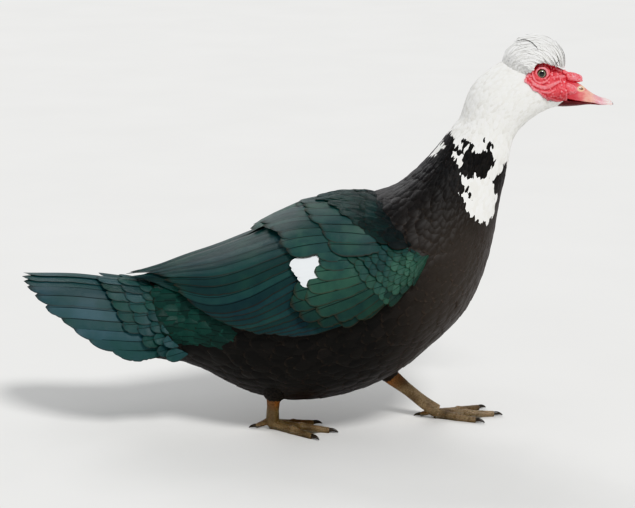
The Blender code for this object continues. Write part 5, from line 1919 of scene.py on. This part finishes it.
def leg_pieces():
    """The scaly legs and their claws."""
    skin_of_foot, horn = scaly_skin(), claw_horn()
    reaches = [*[row[:2] for row in TOES], (HIND_TOE_ANGLE, HIND_CLAW_REACH)]
    for name in LEGS:
        piece(f"foot_skin_{name}", leg(name), skin_of_foot, "legs", (f"leg_{name}",))
        for i, (angle, length) in enumerate(reaches, 1):
            mesh = mesh_of(f"claw_horn_{name}_{i}", claw(name, angle, length))
            piece(f"claw_horn_{name}_{i}", mesh, horn, "claws", (f"claw_{name}_{i}",))


def main():
    """The whole bird and its stage."""
    plumage = dark_plumage()
    flight = glossy_plumage("green and blue flight feather", "#48695a", "#334c49", "#293b40", "#463a34")
    rudder = glossy_plumage("slate-blue tail feather", "#33504a", "#3c5557", "#476069", "#43403e")
    shoulder = glossy_plumage("green-black shoulder feather", "#2a3f3b", "#2c4244", "#2c444c", "#3b322e", 0.9)
    flank = glossy_plumage("green flank feather", "#27433c", "#27433c", "#2b474a", "#3d322d", 0.5)
    plume = crest_plumage()
    down = under_skin()
    piece("skin", skin(), down, "torso", ("torso", "neck", "head", "thigh_right", "thigh_left"))
    body_coats(plumage, flank)
    thigh_coat(plumage)
    for name, side in SIDES.items():
        mesh = mesh_of(f"wing_feathers_{name}", wing(side), rims=True)
        piece(f"wing_feathers_{name}", mesh, flight, "wings", (f"wing_{name}",))
    mantle(shoulder)
    mesh = mesh_of("tail_feathers", tail(), rims=True)
    piece("tail_feathers", mesh, rudder, "tail", ("tail",))
    piece("crest_plumes", crest(plume), plume, "crest", ("crest",))
    core = ellipsoid(*CREST_CORE, 60, 40)
    core.marks = {name: np.full(len(core.points), value) for name, value in (("white", 1.0), ("tone", 0.3))}
    core.marks["vane"] = np.tile((0.0, 0.8, 0.0), (len(core.points), 1))
    piece("crest_core", mesh_of("crest_core", core), plume, "crest")
    head_pieces()
    leg_pieces()
    stage()


def stage():
    """A pale floor, soft light from two sides, and the camera at the photograph's angle."""
    mesh = bpy.data.meshes.new("floor")
    corners = [(x * FLOOR_HALF, y * FLOOR_HALF, 0) for x, y in ((-1, -1), (1, -1), (1, 1), (-1, 1))]
    mesh.from_pydata(corners, [], [(0, 1, 2, 3)])
    floor = in_scene("floor", mesh)
    mesh.materials.append(studio_floor())
    floor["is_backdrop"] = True
    for name, place, spread, power in LIGHTS:
        light = in_scene(name, bpy.data.lights.new(name, "SUN"))
        light.data.angle = math.radians(spread)
        light.data.energy = power
        light.rotation_euler = (-Vector(place)).to_track_quat("-Z", "Y").to_euler()
    world = bpy.data.worlds.new("pale studio")
    world.use_nodes = True
    background = world.node_tree.nodes["Background"]
    background.inputs["Color"].default_value = linear(SKY_COLOUR)
    background.inputs["Strength"].default_value = SKY_STRENGTH
    bpy.context.scene.world = world
    bpy.context.scene.view_settings.view_transform = "Khronos PBR Neutral"
    camera = in_scene("camera", bpy.data.cameras.new("camera"))
    elevation = math.radians(CAMERA_ELEVATION)
    back = Vector((0, -math.cos(elevation), math.sin(elevation)))
    camera.location = Vector(CAMERA_AIM) + back * CAMERA_DISTANCE
    camera.rotation_euler = (math.pi / 2 - elevation, 0, 0)
    camera.data.sensor_width = SENSOR_WIDTH
    camera.data.lens = CAMERA_DISTANCE / PIXEL_SIZE / PHOTO_WIDTH * SENSOR_WIDTH
    bpy.context.scene.camera = camera


main()
sizes = {name: [list(corner) for corner in box] for name, box in (("cad", CAD_BOX), ("visual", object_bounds()))}
